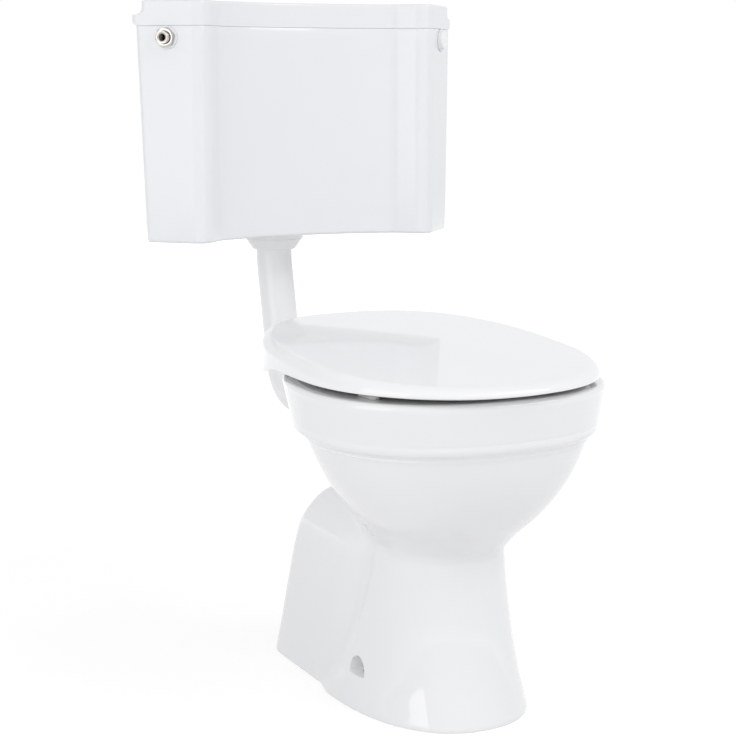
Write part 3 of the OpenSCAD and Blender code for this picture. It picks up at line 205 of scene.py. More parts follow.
def oval_rings(oval, t, z, grown=0.0):
    """Rings of an oval about its own widest place: at each bearing the distance that makes the
    sum of the powered shares one, with both half axes grown alike."""
    half, middle, front, rear, front_power, rear_power = oval
    ahead = np.sin(t) < 0
    n = np.where(ahead, front_power, rear_power)
    length = np.where(ahead, middle - front, rear - middle) + grown
    r = ((np.abs(np.cos(t)) / (half + grown)) ** n + (np.abs(np.sin(t)) / length) ** n) ** (-1 / n)
    x, y, z = np.broadcast_arrays(r * np.cos(t), middle + r * np.sin(t), z)
    return np.stack([x, y, z], axis=-1).astype(float)


def eased(path, cut, steps=5):
    """An open path whose corners are rounded: each is replaced by a parabola that starts and ends
    a cut's length from it, or just under half way along a short side."""
    p = np.asarray(path, float)
    before, at, after = p[:-2], p[1:-1], p[2:]
    back, ahead = before - at, after - at
    length_back = np.linalg.norm(back, axis=1)[:, None]
    length_ahead = np.linalg.norm(ahead, axis=1)[:, None]
    cut = np.broadcast_to(np.asarray(cut, float), len(at))[:, None]
    start = at + back * np.minimum(cut / length_back, 0.49)
    stop = at + ahead * np.minimum(cut / length_ahead, 0.49)
    u = np.linspace(0, 1, steps)[None, :, None]
    arcs = (1 - u) ** 2 * start[:, None] + 2 * u * (1 - u) * at[:, None] + u**2 * stop[:, None]
    return np.concatenate([p[:1], arcs.reshape(-1, p.shape[1]), p[-1:]])


def surface(name, rows, loop=False, flat_ends=False, sharp=40):
    """A closed mesh through rows of points in millimetres. Each row is a ring and its neighbours
    are joined by quads. The last row joins the first, or each end is drawn in to its centre or,
    where it is flat, closed by one face. Faces turn outwards by the sign of the volume."""
    rows = np.asarray(rows, float)
    count, n = rows.shape[:2]
    i, j = np.meshgrid(np.arange(count if loop else count - 1), np.arange(n), indexing="ij")
    k, below = (j + 1) % n, (i + 1) % count
    quads = np.stack([i * n + j, below * n + j, below * n + k, i * n + k], -1).reshape(-1, 4)
    points = np.concatenate([rows.reshape(-1, 3), rows[[0, -1]].mean(axis=1)])
    fans = np.empty((0, 3), int)
    if not loop:
        j, last = np.arange(n), (count - 1) * n
        k = (j + 1) % n
        fans = np.concatenate([np.stack([np.full(n, count * n), j, k], -1),
                               np.stack([np.full(n, count * n + 1), last + k, last + j], -1)])
    halves = np.concatenate([quads[:, [0, 1, 2]], quads[:, [0, 2, 3]], fans])
    a, b, c = (points[halves[:, m]] - points[0] for m in range(3))
    turn = -1 if np.einsum("ij,ij->i", a, np.cross(b, c)).sum() < 0 else 1
    if flat_ends:
        caps = [j[::turn].tolist(), (last + j[::-turn]).tolist()]
    else:
        caps = fans[:, ::turn].tolist()
    used = count * n if loop or flat_ends else count * n + 2
    mesh = bpy.data.meshes.new(name)
    mesh.from_pydata(points[:used] * MM, [], quads[:, ::turn].tolist() + caps)
    mesh.validate()
    piece = bpy.data.objects.new(name, mesh)
    bpy.context.scene.collection.objects.link(piece)
    mesh.shade_smooth()
    mesh.set_sharp_from_angle(angle=math.radians(sharp))
    return piece


def carve(piece, other, operation="DIFFERENCE", sharp=40):
    """Cuts other out of piece, or joins it on, and removes other."""
    step = piece.modifiers.new("carve", "BOOLEAN")
    step.operation, step.object, step.solver = operation, other, "MANIFOLD"
    bpy.context.view_layer.update()
    finished = piece.evaluated_get(bpy.context.evaluated_depsgraph_get())
    mesh = bpy.data.meshes.new_from_object(finished)
    piece.modifiers.clear()
    old, piece.data = piece.data, mesh
    bpy.data.meshes.remove(old)
    bpy.data.objects.remove(other)
    mesh.shade_smooth()
    mesh.set_sharp_from_angle(angle=math.radians(sharp))


def turned(name, profile, place=(0, 0, 0), along=(0, 0, 1), sides=96, loop=False, sharp=40):
    """A lathe turning: profile gives radius and distance along the axis, carried round it."""
    profile = np.asarray(profile, float)
    t = np.arange(sides) * 2 * np.pi / sides
    turn = np.array(Vector((0, 0, 1)).rotation_difference(Vector(along)).to_matrix())
    r, h = profile[:, :1], profile[:, 1:]
    rows = np.stack([r * np.cos(t), r * np.sin(t), h + 0 * t], axis=-1)
    return surface(name, rows @ turn.T + np.asarray(place, float), loop=loop, sharp=sharp)


def drilled(piece, radius, low, high, place=(0, 0, 0), along=(0, 0, 1), sides=48):
    """Cuts a round hole from distance low to high along an axis through place."""
    tool = turned("tool", [[radius, low], [radius, high]], place, along, sides)
    carve(piece, tool)


PAN_COLUMNS = 400
bearing = np.arange(PAN_COLUMNS)[None, :] * 2 * np.pi / PAN_COLUMNS

# The hollow under the foot leaves a solid core round the sump, the trap and the outlet
HOLLOW_LOW, HOLLOW_HIGH = SUMP_Z - WALL, 160
FIX_X, FIX_Y, FIX_LEDGE = 84, -146, 40
core_reach = reach(lambda z, x, y: oval_value([64, -140, -256, 56, 2.6, 3], x, y), 0, bearing)
room = reach(pan_value, np.full_like(bearing, HOLLOW_HIGH), bearing) - WALL - core_reach
fix_bearing = math.atan2(FIX_Y - PAN_MIDDLE, FIX_X)
beside_fixing = smooth((np.abs(np.sin(bearing) - math.sin(fix_bearing)) - 0.25) / 0.15)
moat = mix(HOLLOW_LOW, HOLLOW_HIGH, smooth((room - 10) / 16) * beside_fixing)
under = [ring_at(core_reach * share, bearing, HOLLOW_LOW)[0] for share in (0.3, 0.65, 1)]
shoulder_reach = np.minimum(core_reach + 8, reach(pan_value, moat, bearing) - WALL - 1)
under += [ring_at(shoulder_reach, bearing, moat)[0]]
for share in np.linspace(1, 0, 10):
    level = moat * share
    under += [ring_at(reach(pan_value, level, bearing) - WALL, bearing, level)[0]]

# Outside, from the floor to the underside of the rim band, with a half-moon pocket each side
# of the foot over the head of a floor screw
POCKET_R, POCKET_H, POCKET_OUT = 15, 18, 7
outer_z = np.concatenate([np.arange(2, 36, 4), np.arange(36, 64, 1.0), np.arange(64, 186, 4),
                          np.arange(186, 262, 2.4), np.arange(262, BOWL_TOP - 4, 4)])[:, None]
outer = reach(pan_value, outer_z, bearing)
for side in (1, -1):
    out_x, out_y = side * (FIX_X + POCKET_OUT), FIX_Y - PAN_MIDDLE
    along_ray = out_x * np.cos(bearing) + out_y * np.sin(bearing)
    beside_ray = np.abs(out_y * np.cos(bearing) - out_x * np.sin(bearing))
    back_wall = along_ray - np.sqrt(np.clip(POCKET_R**2 - beside_ray**2, 0, None))
    arch = FIX_LEDGE + 3 + POCKET_H * np.sqrt(np.clip(1 - (beside_ray / POCKET_R) ** 2, 0, 1))
    open_here = (smooth((POCKET_R - beside_ray) / 5) * (along_ray > 0)
                 * smooth((outer_z - FIX_LEDGE + 1) / 3) * smooth((arch - outer_z) / 6))
    outer = outer - np.maximum(outer - back_wall, 0) * open_here
floor_edge = [ring_at(outer[0] - drop, bearing[0], z)
              for z, drop in ((0, 1.6), (0.4, 0.7), (1.1, 0.2))]

# The band's lower edge rolls out of the bowl, and its upper edge is rounded over to the rim
bowl_edge = reach(pan_value, BOWL_TOP + 0 * bearing, bearing)
band_edge = reach(pan_value, BAND_Z + 6 + 0 * bearing, bearing)
step_path = eased([[14, BOWL_TOP - 3], [14, BOWL_TOP], [2.5, BAND_Z - 1.5], [0, BAND_Z + 2],
                   [0, BAND_Z + 9]], [2.5, 2.0, 2.5], 6)
roll_rings = ring_at(mix(band_edge, bowl_edge, step_path[:, :1] / 14), bearing, step_path[:, 1:])
band_z = np.linspace(BAND_Z + 9, RIM_Z - RIM_ROUND, 12)[:, None]
band_rings = ring_at(reach(pan_value, band_z, bearing), bearing, band_z)
over = np.linspace(0, np.pi / 2, 9)[1:, None]
rim_reach = reach(pan_value, RIM_Z - RIM_ROUND + 0 * bearing, bearing)
rim_rings = ring_at(rim_reach - RIM_ROUND * (1 - np.cos(over)), bearing,
                    RIM_Z - RIM_ROUND * (1 - np.sin(over)))

# Inside: the lip that hides the flushing channel, the channel, and the bowl down to the sump
opening = [RIM_HALF_W - RIM_LAND, 5 - RIM_WIDEST, RIM_LAND - RIM_FRONT, -DECK_FRONT, 2.2, 2.4]
lip_z = RIM_Z - LIP_H
lip = eased([[9, RIM_Z], [0, RIM_Z], [-2, lip_z], [8, lip_z], [9, RIM_Z - 13], [31, RIM_Z - 13],
             [24, BAND_Z + 8]], [5, 3, 3, 6, 8])
lip_rings = oval_rings(opening, bearing, lip[:, 1:], lip[:, :1])
land = np.linspace(0, 1, 6)[1:-1, None, None]
land_rings = mix(rim_rings[-1:], lip_rings[:1], land)
inside_z = np.linspace(BAND_Z, SUMP_Z + 5, 70)[:, None]
inside_oval = [through(INSIDE_PROFILE, column, inside_z) for column in (1, 2, 3, 4)]
inside_rings = oval_rings([*inside_oval, 2.2, 2.2], bearing, inside_z)
sump = np.linspace(1, 0.25, 6)[1:, None, None]
sump_centre = np.array([0, -172, 0]) * (1 - sump)
sump_rings = inside_rings[-1:] * sump + sump_centre
sump_rings[..., 2] = SUMP_Z + 5 * (sump[..., 0] ** 2)

pan = surface("pan_china", np.concatenate([
    np.array(under), np.array(floor_edge), ring_at(outer, bearing, outer_z), roll_rings, band_rings,
    rim_rings, land_rings, lip_rings, inside_rings, sump_rings]))

# The flush horn and the waste socket are part of the casting; then the ways through it
HORN_Z, HORN_END, HORN_R, HORN_BORE_R = 308, 70, 31, 23
BOLT_X, BOLT_Y = 77.5, 16
SOCKET_BORE_R, SOCKET_DEPTH, SOCKET_R, SOCKET_TOP, SCREW_POST_R = 42, 60, 51, 94, 14
carve(pan, turned("tool", eased([[0.1, -28], [HORN_R, -28], [HORN_R, HORN_END], [0.1, HORN_END]],
                                [2, 2]), (0, 0, HORN_Z), (0, 1, 0)), "UNION")
carve(pan, turned("tool", [[SOCKET_R, 0.5], [SOCKET_R, SOCKET_TOP]]), "UNION")
for side in (-1, 1):
    carve(pan, turned("tool", [[SCREW_POST_R, 0.5], [SCREW_POST_R, FIX_LEDGE - 0.5]],
                      (side * FIX_X, FIX_Y, 0)), "UNION")
    drilled(pan, 4, -1, FIX_LEDGE + 3, (side * FIX_X, FIX_Y, 0))
    drilled(pan, 6, RIM_Z - 41, RIM_Z + 2, (side * BOLT_X, BOLT_Y, 0))
    drilled(pan, 17, RIM_Z - 120, RIM_Z - 40, (side * BOLT_X, BOLT_Y, 0))

# The trap: a leg that rises from the sump, a bend over the weir, and a drop to the socket
TRAP_R, TRAP_BEND, TRAP_SLOPE, TRAP_RISE = 36, 48, math.radians(70), 94
turn_z = CROWN_Z - WALL - TRAP_R - 1 - TRAP_BEND
bend_angle = np.linspace(0, np.pi / 2 + TRAP_SLOPE, 32)
bend_y = -TRAP_BEND + TRAP_BEND * np.cos(bend_angle)
bend_z = turn_z + TRAP_BEND * np.sin(bend_angle)
rise = np.linspace(0, TRAP_RISE, 8)[1:]
end_y = bend_y[-1] - rise * np.sin(bend_angle[-1])
end_z = bend_z[-1] + rise * np.cos(bend_angle[-1])


def tube_rows(y, z, radius, sides=64):
    """A circle carried square to a path that lies in the plane x = 0."""
    dy, dz = np.gradient(y), np.gradient(z)
    length = np.hypot(dy, dz)
    ny, nz = (-dz / length)[:, None], (dy / length)[:, None]
    t = np.arange(sides)[None, :] * 2 * np.pi / sides
    r = np.broadcast_to(np.asarray(radius, float), len(y))[:, None]
    return np.stack([r * np.cos(t), y[:, None] + ny * r * np.sin(t),
                     z[:, None] + nz * r * np.sin(t)], axis=-1)


trap_y = np.concatenate([[0, 0], bend_y, end_y])
trap_z = np.concatenate([[-2, turn_z / 2], bend_z, end_z])
cap_angle = np.linspace(0, 1.45, 8)[1:]
cap_y = trap_y[-1] - TRAP_R * np.sin(cap_angle) * np.sin(bend_angle[-1])
cap_z = trap_z[-1] + TRAP_R * np.sin(cap_angle) * np.cos(bend_angle[-1])
trap = surface("tool", tube_rows(np.concatenate([trap_y, cap_y]), np.concatenate([trap_z, cap_z]),
                                 np.concatenate([np.full(len(trap_y), TRAP_R + 1.0),
                                                 (TRAP_R + 1) * np.cos(cap_angle)])))
carve(pan, trap)
drilled(pan, SOCKET_BORE_R, -2, SOCKET_DEPTH, sides=96)
drilled(pan, HORN_BORE_R, -62, HORN_END + 2, (0, 0, HORN_Z), (0, 1, 0))


def finish(name):
    """A new node material: its shader, and a function that adds a node and sets its inputs."""
    material = bpy.data.materials.new(name)
    material.use_nodes = True
    tree = material.node_tree
    shader = tree.nodes["Principled BSDF"]

    def add(kind, links=(), **values):
        node = tree.nodes.new(kind)
        for key, value in values.items():
            if key in node.inputs:
                node.inputs[key].default_value = value
            else:
                setattr(node, key, value)
        for source, target in links:
            tree.links.new(source, node.inputs[target])
        return node

    return material, shader, add, tree.links.new


def glossy_white(name, colour, rough, wave, peel, tint=0.012):
    """White with a gloss: a faint drift of tone over a hand's width, gloss that varies a little,
    and two heights of relief, slow waves in the surface and a fine skin."""
    material, shader, add, link = finish(name)
    place = add("ShaderNodeTexCoord").outputs["Object"]
    drift = add("ShaderNodeTexNoise", [(place, "Vector")], Scale=9.0, Detail=2.0)
    tones = add("ShaderNodeMix", [(drift.outputs["Fac"], "Factor")], data_type="RGBA")
    tones.inputs["A"].default_value = (*(c * (1 - tint) for c in colour), 1)
    tones.inputs["B"].default_value = (*(min(c * (1 + tint), 1) for c in colour), 1)
    link(tones.outputs["Result"], shader.inputs["Base Color"])
    smear = add("ShaderNodeTexNoise", [(place, "Vector")], Scale=26.0, Detail=4.0)
    gloss = add("ShaderNodeMapRange", [(smear.outputs["Fac"], "Value")],
                **{"From Min": 0.3, "From Max": 0.7, "To Min": rough * 0.8, "To Max": rough * 1.25})
    link(gloss.outputs["Result"], shader.inputs["Roughness"])
    waves = add("ShaderNodeTexNoise", [(place, "Vector")], Scale=22.0, Detail=1.0)
    skin = add("ShaderNodeTexNoise", [(place, "Vector")], Scale=420.0, Detail=2.0)
    slow = add("ShaderNodeBump", [(waves.outputs["Fac"], "Height")], Strength=1.0, Distance=wave)
    fine = add("ShaderNodeBump",
               [(skin.outputs["Fac"], "Height"), (slow.outputs["Normal"], "Normal")],
               Strength=1.0, Distance=peel)
    link(fine.outputs["Normal"], shader.inputs["Normal"])
    return material, shader


materials = {}
materials["glazed_ceramic"], glaze = glossy_white(
    "glazed_china", (0.88, 0.882, 0.885), 0.05, 0.0001, 0.000004)
glaze.inputs["Coat Weight"].default_value = 0.6
glaze.inputs["Coat Roughness"].default_value = 0.03


def dress(piece, slot, body, *nodes):
    """Gives a piece its material and its body, and hides the CAD nodes that it stands for."""
    piece.data.materials.clear()
    piece.data.materials.append(materials[slot])
    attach(piece, body)
    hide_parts(*nodes)


dress(pan, "glazed_ceramic", "frame", "pan")

# ------------------------------------------------------------------ seat ring and cover
# Pressed from white thermoset plastic with a hard gloss. The cover is a thin shell whose edge is
# rounded wide and turned down past the hinge; the ring under it is solid and lies on four pads.
materials["seat_plastic"], _ = glossy_white(
    "seat_thermoset", (0.93, 0.933, 0.938), 0.03, 0.00001, 0.000002)
COVER_HALF_W, COVER_WIDEST, COVER_WALL = 178, -178, 3.5
COVER_FRONT, COVER_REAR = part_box("seat_cover")[0].y / MM + 1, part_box("seat_cover")[1].y / MM
COVER_BASE = RIM_Z + 7.5
COVER_EDGE, COVER_BACK_H, COVER_CROWN = 9.3, 44, 5
HINGE_Y, HINGE_Z = 64, RIM_Z + 21
COVER_POWERS = [2.13, 2.66]
COVER_COLUMNS = 360
around = np.arange(COVER_COLUMNS) * 2 * np.pi / COVER_COLUMNS
cover_outline = oval_rings([COVER_HALF_W, COVER_WIDEST, COVER_FRONT, COVER_REAR, *COVER_POWERS],
                           around, 0.0)[:, :2]
cover_slope = (COVER_BACK_H - 7.5 - COVER_EDGE) / (HINGE_Y - COVER_FRONT)
to_back = np.degrees(np.arcsin(np.sin(around)))
cover_round = mix(14, 19.4, smooth((to_back - 20) / 50))
cover_edge_z = (COVER_BASE + 2.5 * smooth((to_back - 62) / 5)
                - 15 * smooth((to_back - 26) / 24) * smooth((67.4 - to_back) / 5))


def cover_line(y):
    """Height of the cover's top along its middle: a straight line that climbs to the hinge."""
    return COVER_BASE + COVER_EDGE + cover_slope * (y - COVER_FRONT)


def cover_points(inset, share=1.0):
    """Points drawn in from the cover's outline, or a share of the way out to it."""
    arm = cover_outline - [0, COVER_WIDEST]
    k = share * (1 - inset / np.linalg.norm(arm, axis=1))
    return arm * k[:, None] + [0, COVER_WIDEST], k


def cover_ring(inset, share, lower):
    """A ring on the crowned top, lowered by a distance."""
    xy, k = cover_points(inset, share)
    z = cover_line(xy[:, 1]) + COVER_CROWN * (1 - k * k) - lower
    return np.column_stack([xy, z])


def cover_rim(angle, wall):
    """A ring on the rounding of the edge, at an angle up from upright, inside by the wall."""
    xy, k = cover_points(wall + (cover_round - wall) * (1 - math.cos(angle)))
    z = cover_line(xy[:, 1]) + COVER_CROWN * (1 - k * k)
    up = np.minimum(cover_round, z - cover_edge_z - 2)
    return np.column_stack([xy, z - wall - (up - wall) * (1 - math.sin(angle))])


def cover_foot(inset, up):
    return np.column_stack([cover_points(inset)[0], cover_edge_z + up])


quarter = np.linspace(np.pi / 2, 0, 16)
shares = np.linspace(0.06, 0.97, 14)
hem = eased([[0, 3], [0, 0], [COVER_WALL - 0.7, 0], [COVER_WALL, 3]], [1.2, 1.0], 5)
cover_rows = [cover_ring(cover_round, s, 0) for s in shares] + [cover_rim(a, 0) for a in quarter]
cover_rows += [cover_foot(*p) for p in hem[1:-1]]
cover_rows += [cover_rim(a, COVER_WALL) for a in quarter[::-1]]
cover_rows += [cover_ring(cover_round, s, COVER_WALL) for s in shares[::-1]]
cover = surface("seat_cover_shell", cover_rows, sharp=60)


def slab(name, outline, low, high, edge=0.8):
    """A flat piece with an outline in the YZ plane, from low to high along X, whose two rims are
    drawn in towards its middle by an edge."""
    p = np.asarray(outline, float)
    centre = p.mean(axis=0)
    arm = p - centre
    inner = centre + arm * (1 - edge / np.linalg.norm(arm, axis=1))[:, None]
    steps = [(inner, low), (p, low + edge), (p, high - edge), (inner, high)]
    return surface(name, [np.column_stack([np.full(len(q), x), q]) for q, x in steps], sharp=30)


KNUCKLE_R, PIN_R, LUG_W = 10.5, 4.05, 12
COVER_LUG_X, RING_LUG_X = 19, 31.5
arc = np.linspace(-np.pi, 0, 28)
low_half = np.column_stack([HINGE_Y + KNUCKLE_R * np.cos(arc), HINGE_Z + KNUCKLE_R * np.sin(arc)])
cover_lug = np.concatenate([low_half, [[HINGE_Y + KNUCKLE_R, cover_line(HINGE_Y) - 2.5],
                                       [HINGE_Y - KNUCKLE_R, cover_line(HINGE_Y) - 2.5]]])
for side in (-1, 1):
    low = COVER_LUG_X if side > 0 else -COVER_LUG_X - LUG_W
    carve(cover, slab("tool", cover_lug, low, low + LUG_W), "UNION", 50)
    drilled(cover, PIN_R, low - 1, low + LUG_W + 1, (0, HINGE_Y, HINGE_Z), (1, 0, 0))
cover.data.set_sharp_from_angle(angle=math.radians(50))
dress(cover, "seat_plastic", "cover", "seat_cover")

RING_Z, RING_THICK, UNDER_COVER = RIM_Z + 4, 16, 2.5
ring_oval = [COVER_HALF_W - 14, COVER_WIDEST, COVER_FRONT + 12, -6, COVER_POWERS[0], 2.4]
hole_oval = [112, COVER_WIDEST, -298, -56, 2.2, 2.2]


def ring_rows(oval, path):
    """Rings of the seat: each point of a path is a distance from an oval and a height, which is a
    share of the seat's own thickness at that place along it."""
    rows = oval_rings(oval, around, 0.0, path[:, :1])
    top = np.minimum(cover_line(rows[..., 1]) - COVER_WALL - UNDER_COVER, RING_Z + RING_THICK)
    rows[..., 2] = mix(RING_Z, top, path[:, 1:] / RING_THICK)
    return rows


outer_path = eased([[-24, 0], [0, 0], [0, RING_THICK], [-24, RING_THICK]], [3, 8], 8)
inner_path = eased([[24, RING_THICK], [3, RING_THICK - 1], [0, 0], [18, 0]], [11, 3], 8)
seat = surface("seat_ring_solid", np.concatenate([ring_rows(ring_oval, outer_path),
                                                  ring_rows(hole_oval, inner_path)]), loop=True)
ring_lug = np.concatenate([low_half[9:], [
    [HINGE_Y + 8, HINGE_Z + 7], [HINGE_Y, HINGE_Z + KNUCKLE_R], [HINGE_Y - 14, HINGE_Z - 3],
    [-24, RING_Z + 12], [-24, RING_Z + 2], [HINGE_Y - 12, RING_Z + 2]]])
for side in (-1, 1):
    low = RING_LUG_X if side > 0 else -RING_LUG_X - LUG_W
    carve(seat, slab("tool", ring_lug, low, low + LUG_W), "UNION", 50)
    drilled(seat, PIN_R, low - 1, low + LUG_W + 1, (0, HINGE_Y, HINGE_Z), (1, 0, 0))
dress(seat, "seat_plastic", "ring", "seat_ring")

# ------------------------------------------------------------------ the cistern
# A tank and a loose lid, moulded in white plastic. In plan the front is a shallow hollow between
# two rounded posts, the sides are cut at 45 degrees, and the back fits the room's corner.
materials["cistern_plastic"], _ = glossy_white(
    "moulded_cistern", (0.86, 0.868, 0.884), 0.13, 0.0001, 0.00001)
TANK_Z, TANK_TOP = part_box("cistern_tank")[0].z / MM, 810
TANK_HALF_W, TANK_FRONT, SIDE_TOP, SIDE_BOTTOM = 170, 162, 61, 54
FRONT_HOLLOW, HOLLOW_X, HOLLOW_RISE, TANK_WALL, CORNER_FLAT = 52, 114, 19.3, 4, 61


def hollow_y(x):
    """The hollow front in plan: a parabola, deepest at the middle."""
    return TANK_FRONT + FRONT_HOLLOW - HOLLOW_RISE * (x / HOLLOW_X) ** 2


# From the hollow out over the step and round the post to its 45 degree side
post = eased([[HOLLOW_X, hollow_y(HOLLOW_X)], [128, 189.6], [151, 166], [162.5, 161.5],
              [174.7, 166.7], [185, 177]], [9, 7, 4, 1.6], 8)


def plan(side_reach):
    """The cistern's outline from above, for chamfered sides that reach so far along X: hollow,
    post, chamfer, wall and the flat across the corner, then the same mirrored."""
    a = np.asarray(side_reach, float).reshape(-1, 1)
    one = np.ones_like(a)
    x = np.linspace(0, HOLLOW_X, 34)[None, :-1]
    xs = [one * x, one * post[:, 0]]
    ys = [one * hollow_y(x), one * post[:, 1]]
    corner_x, corner_y, c = TANK_HALF_W + a, TANK_FRONT + a, CORNER_FLAT / 2
    u = np.linspace(0, 1, 16)[None, 1:-1]
    xs += [mix(xs[-1][:, -1:], corner_x - 5, u)]
    ys += [mix(ys[-1][:, -1:], corner_y - 5, u)]
    u = np.linspace(0, 1, 9)[None]
    xs += [corner_x - 5 * ((1 - u) ** 2 + u**2)]
    ys += [corner_y - 5 * (1 - u) ** 2 + 5 * u**2]
    s = corner_x + corner_y
    u = np.linspace(0, 1, 16)[None, 1:-1]
    xs += [mix(corner_x - 5, c + 3, u)]
    ys += [mix(corner_y + 5, s - c - 3, u)]
    u = np.linspace(0, 1, 7)[None]
    xs += [one * (c + 3 * (1 - u) ** 2 - 4 * u**2)]
    ys += [s - c - 3 * (1 - u) ** 2]
    u = np.linspace(0, 1, 4)[None, 1:]
    xs += [one * mix(c - 4, 0, u)]
    ys += [s - c + 0 * u]
    half = np.stack([np.concatenate(xs, axis=1), np.concatenate(ys, axis=1)], axis=-1)
    return np.concatenate([half, half[:, -2:0:-1] * [-1, 1]], axis=1)


def plan_rings(side_reach, inset, z):
    """Outlines at height z, each point drawn in along the bisector of its two edges."""
    p = plan(side_reach)
    ahead, back = np.roll(p, -1, axis=1) - p, p - np.roll(p, 1, axis=1)
    ahead /= np.linalg.norm(ahead, axis=-1, keepdims=True)
    back /= np.linalg.norm(back, axis=-1, keepdims=True)
    normal = np.stack([-(ahead + back)[..., 1], (ahead + back)[..., 0]], axis=-1)
    normal /= 1 + (ahead * back).sum(axis=-1, keepdims=True)
    p = p + normal * np.asarray(inset, float).reshape(-1, 1, 1)
    z = np.broadcast_to(np.asarray(z, float).reshape(-1, 1, 1), p[..., :1].shape)
    return np.concatenate([p, z], axis=-1)


def tank_reach(z):
    return mix(SIDE_BOTTOM, SIDE_TOP, np.clip((z - TANK_Z) / (TANK_TOP - TANK_Z), 0, 1))


turn = np.linspace(0, np.pi / 2, 8)
edge_in = 4 * (1 - np.sin(turn))
edge_z = TANK_Z + 4 * (1 - np.cos(turn))
wall_z = np.linspace(TANK_Z + 8, TANK_TOP - 1, 24)
rows = [plan_rings(np.full(8, SIDE_BOTTOM), edge_in, edge_z),
        plan_rings(tank_reach(wall_z), np.zeros(24), wall_z),
        plan_rings(SIDE_TOP, 0.5, TANK_TOP), plan_rings(SIDE_TOP, TANK_WALL - 0.5, TANK_TOP),
        plan_rings(tank_reach(wall_z[::-1]) - 0.5, np.full(24, TANK_WALL), wall_z[::-1]),
        plan_rings(SIDE_BOTTOM - 0.5, TANK_WALL + 1.5, TANK_Z + 5)]
tank = surface("cistern_tank_moulding", np.concatenate(rows), flat_ends=True, sharp=30)

# A hole each side for the water inlet, one for each wall screw's bush, and the outlet's
INLET_DROP, TAIL_R, OUTLET_Y, TAIL_BORE_R = 15, 8, 313, 28.1
BUSH_X, BUSH_Y, BUSH_DROP, BUSH_R = 115, 345, 30, 10.3
inlet_along = (SIDE_TOP + SIDE_BOTTOM) / 4 + 0.75
inlet_z = TANK_TOP - INLET_DROP
diagonal = math.sqrt(0.5)
for side in (-1, 1):
    place = (side * (TANK_HALF_W + inlet_along), TANK_FRONT + inlet_along, inlet_z)
    inward = (-side * diagonal, diagonal, 0)
    drilled(tank, TAIL_R + 0.4, -4, 8, place, inward)
    wall_place = (side * BUSH_X, BUSH_Y, TANK_TOP - BUSH_DROP)
    drilled(tank, BUSH_R, -18, 2, wall_place, (side * diagonal, diagonal, 0))
drilled(tank, TAIL_BORE_R, TANK_Z - 2, TANK_Z + 8, (0, OUTLET_Y, 0), sides=64)
tank.data.set_sharp_from_angle(angle=math.radians(30))
dress(tank, "cistern_plastic", "frame", "cistern_tank")

LID_Z, LID_TOP, LID_WALL, LID_OVER = TANK_TOP + 0.1, TANK_TOP + 32, 3.5, 0.8
LIP_REACH, LIP_STEP, COVE = 65 - LID_OVER, 14, 9.5
cove_turn = np.linspace(0, np.pi / 2, 14)
outside = np.concatenate([
    [[-4.5, -LID_OVER + 0.4, LID_Z], [-3.5, -LID_OVER, LID_Z + 0.4], [-2, -LID_OVER, LID_Z + 1.2],
     [-0.8, -LID_OVER, LID_Z + 2.5], [-0.2, -LID_OVER, LID_Z + 4]],
    np.column_stack([np.zeros(5), np.full(5, -LID_OVER),
                     np.linspace(LID_Z + 5.5, LID_Z + LIP_STEP - 1.2, 5)]),
    np.column_stack([-0.9 - (COVE - 0.9) * np.sin(cove_turn), np.full(14, -LID_OVER),
                     LID_Z + LIP_STEP + 8 * (1 - np.cos(cove_turn))]),
    np.column_stack([np.full(8, -COVE), 3 * (1 - np.cos(turn)) - LID_OVER,
                     LID_TOP - 3 * (1 - np.sin(turn))]),
])
inner = LID_WALL - LID_OVER
inside = np.array([
    [-COVE, inner, LID_TOP - LID_WALL], [-COVE, inner, LID_TOP - LID_WALL - 8],
    [0, inner, LID_Z + LIP_STEP - LID_WALL - 1], [0, inner, LID_Z + 6], [-4.5, inner, LID_Z + 1.5],
    [-4.5, inner - 0.4, LID_Z]])
both = np.concatenate([inside, outside])
lid = surface("cistern_lid_moulding", plan_rings(LIP_REACH + both[:, 0], both[:, 1], both[:, 2]),
              flat_ends=True, sharp=30)
BUTTON_R, BEZEL_FIT, BEZEL_WALL = 19, 0.35, 2.4
BEZEL_R = BUTTON_R + BEZEL_FIT + BEZEL_WALL
drilled(lid, BEZEL_R + 0.2, LID_TOP - 8, LID_TOP + 2, (0, OUTLET_Y, 0), sides=96)
lid.data.set_sharp_from_angle(angle=math.radians(30))
dress(lid, "cistern_plastic", "lid", "cistern_lid")

# ------------------------------------------------------------------ push button and bezel
# A chromed ring clipped into the lid, and a dished chromed button that sinks 8 mm into it. Both
# are turned shapes, plated over plastic.


def metal(name, colour, rough, along=(1, 1, 1), grain=300.0, depth=0.000004):
    """Metal whose gloss drifts and which carries a fine grain, drawn out along an axis."""
    material, shader, add, link = finish(name)
    shader.inputs["Metallic"].default_value = 1.0
    place = add("ShaderNodeTexCoord").outputs["Object"]
    stretched = add("ShaderNodeMapping", [(place, "Vector")], Scale=along)
    grains = add("ShaderNodeTexNoise", [(stretched.outputs["Vector"], "Vector")],
                 Scale=grain, Detail=3.0)
    drift = add("ShaderNodeTexNoise", [(place, "Vector")], Scale=35.0, Detail=3.0)
    tones = add("ShaderNodeMix", [(drift.outputs["Fac"], "Factor")], data_type="RGBA")
    tones.inputs["A"].default_value = (*(c * 0.93 for c in colour), 1)
    tones.inputs["B"].default_value = (*colour, 1)
    link(tones.outputs["Result"], shader.inputs["Base Color"])
    gloss = add("ShaderNodeMapRange", [(grains.outputs["Fac"], "Value")],
                **{"To Min": rough * 0.6, "To Max": rough * 1.4})
    link(gloss.outputs["Result"], shader.inputs["Roughness"])
    scratch = add("ShaderNodeBump", [(grains.outputs["Fac"], "Height")],
                  Strength=1.0, Distance=depth)
    link(scratch.outputs["Normal"], shader.inputs["Normal"])
    return material


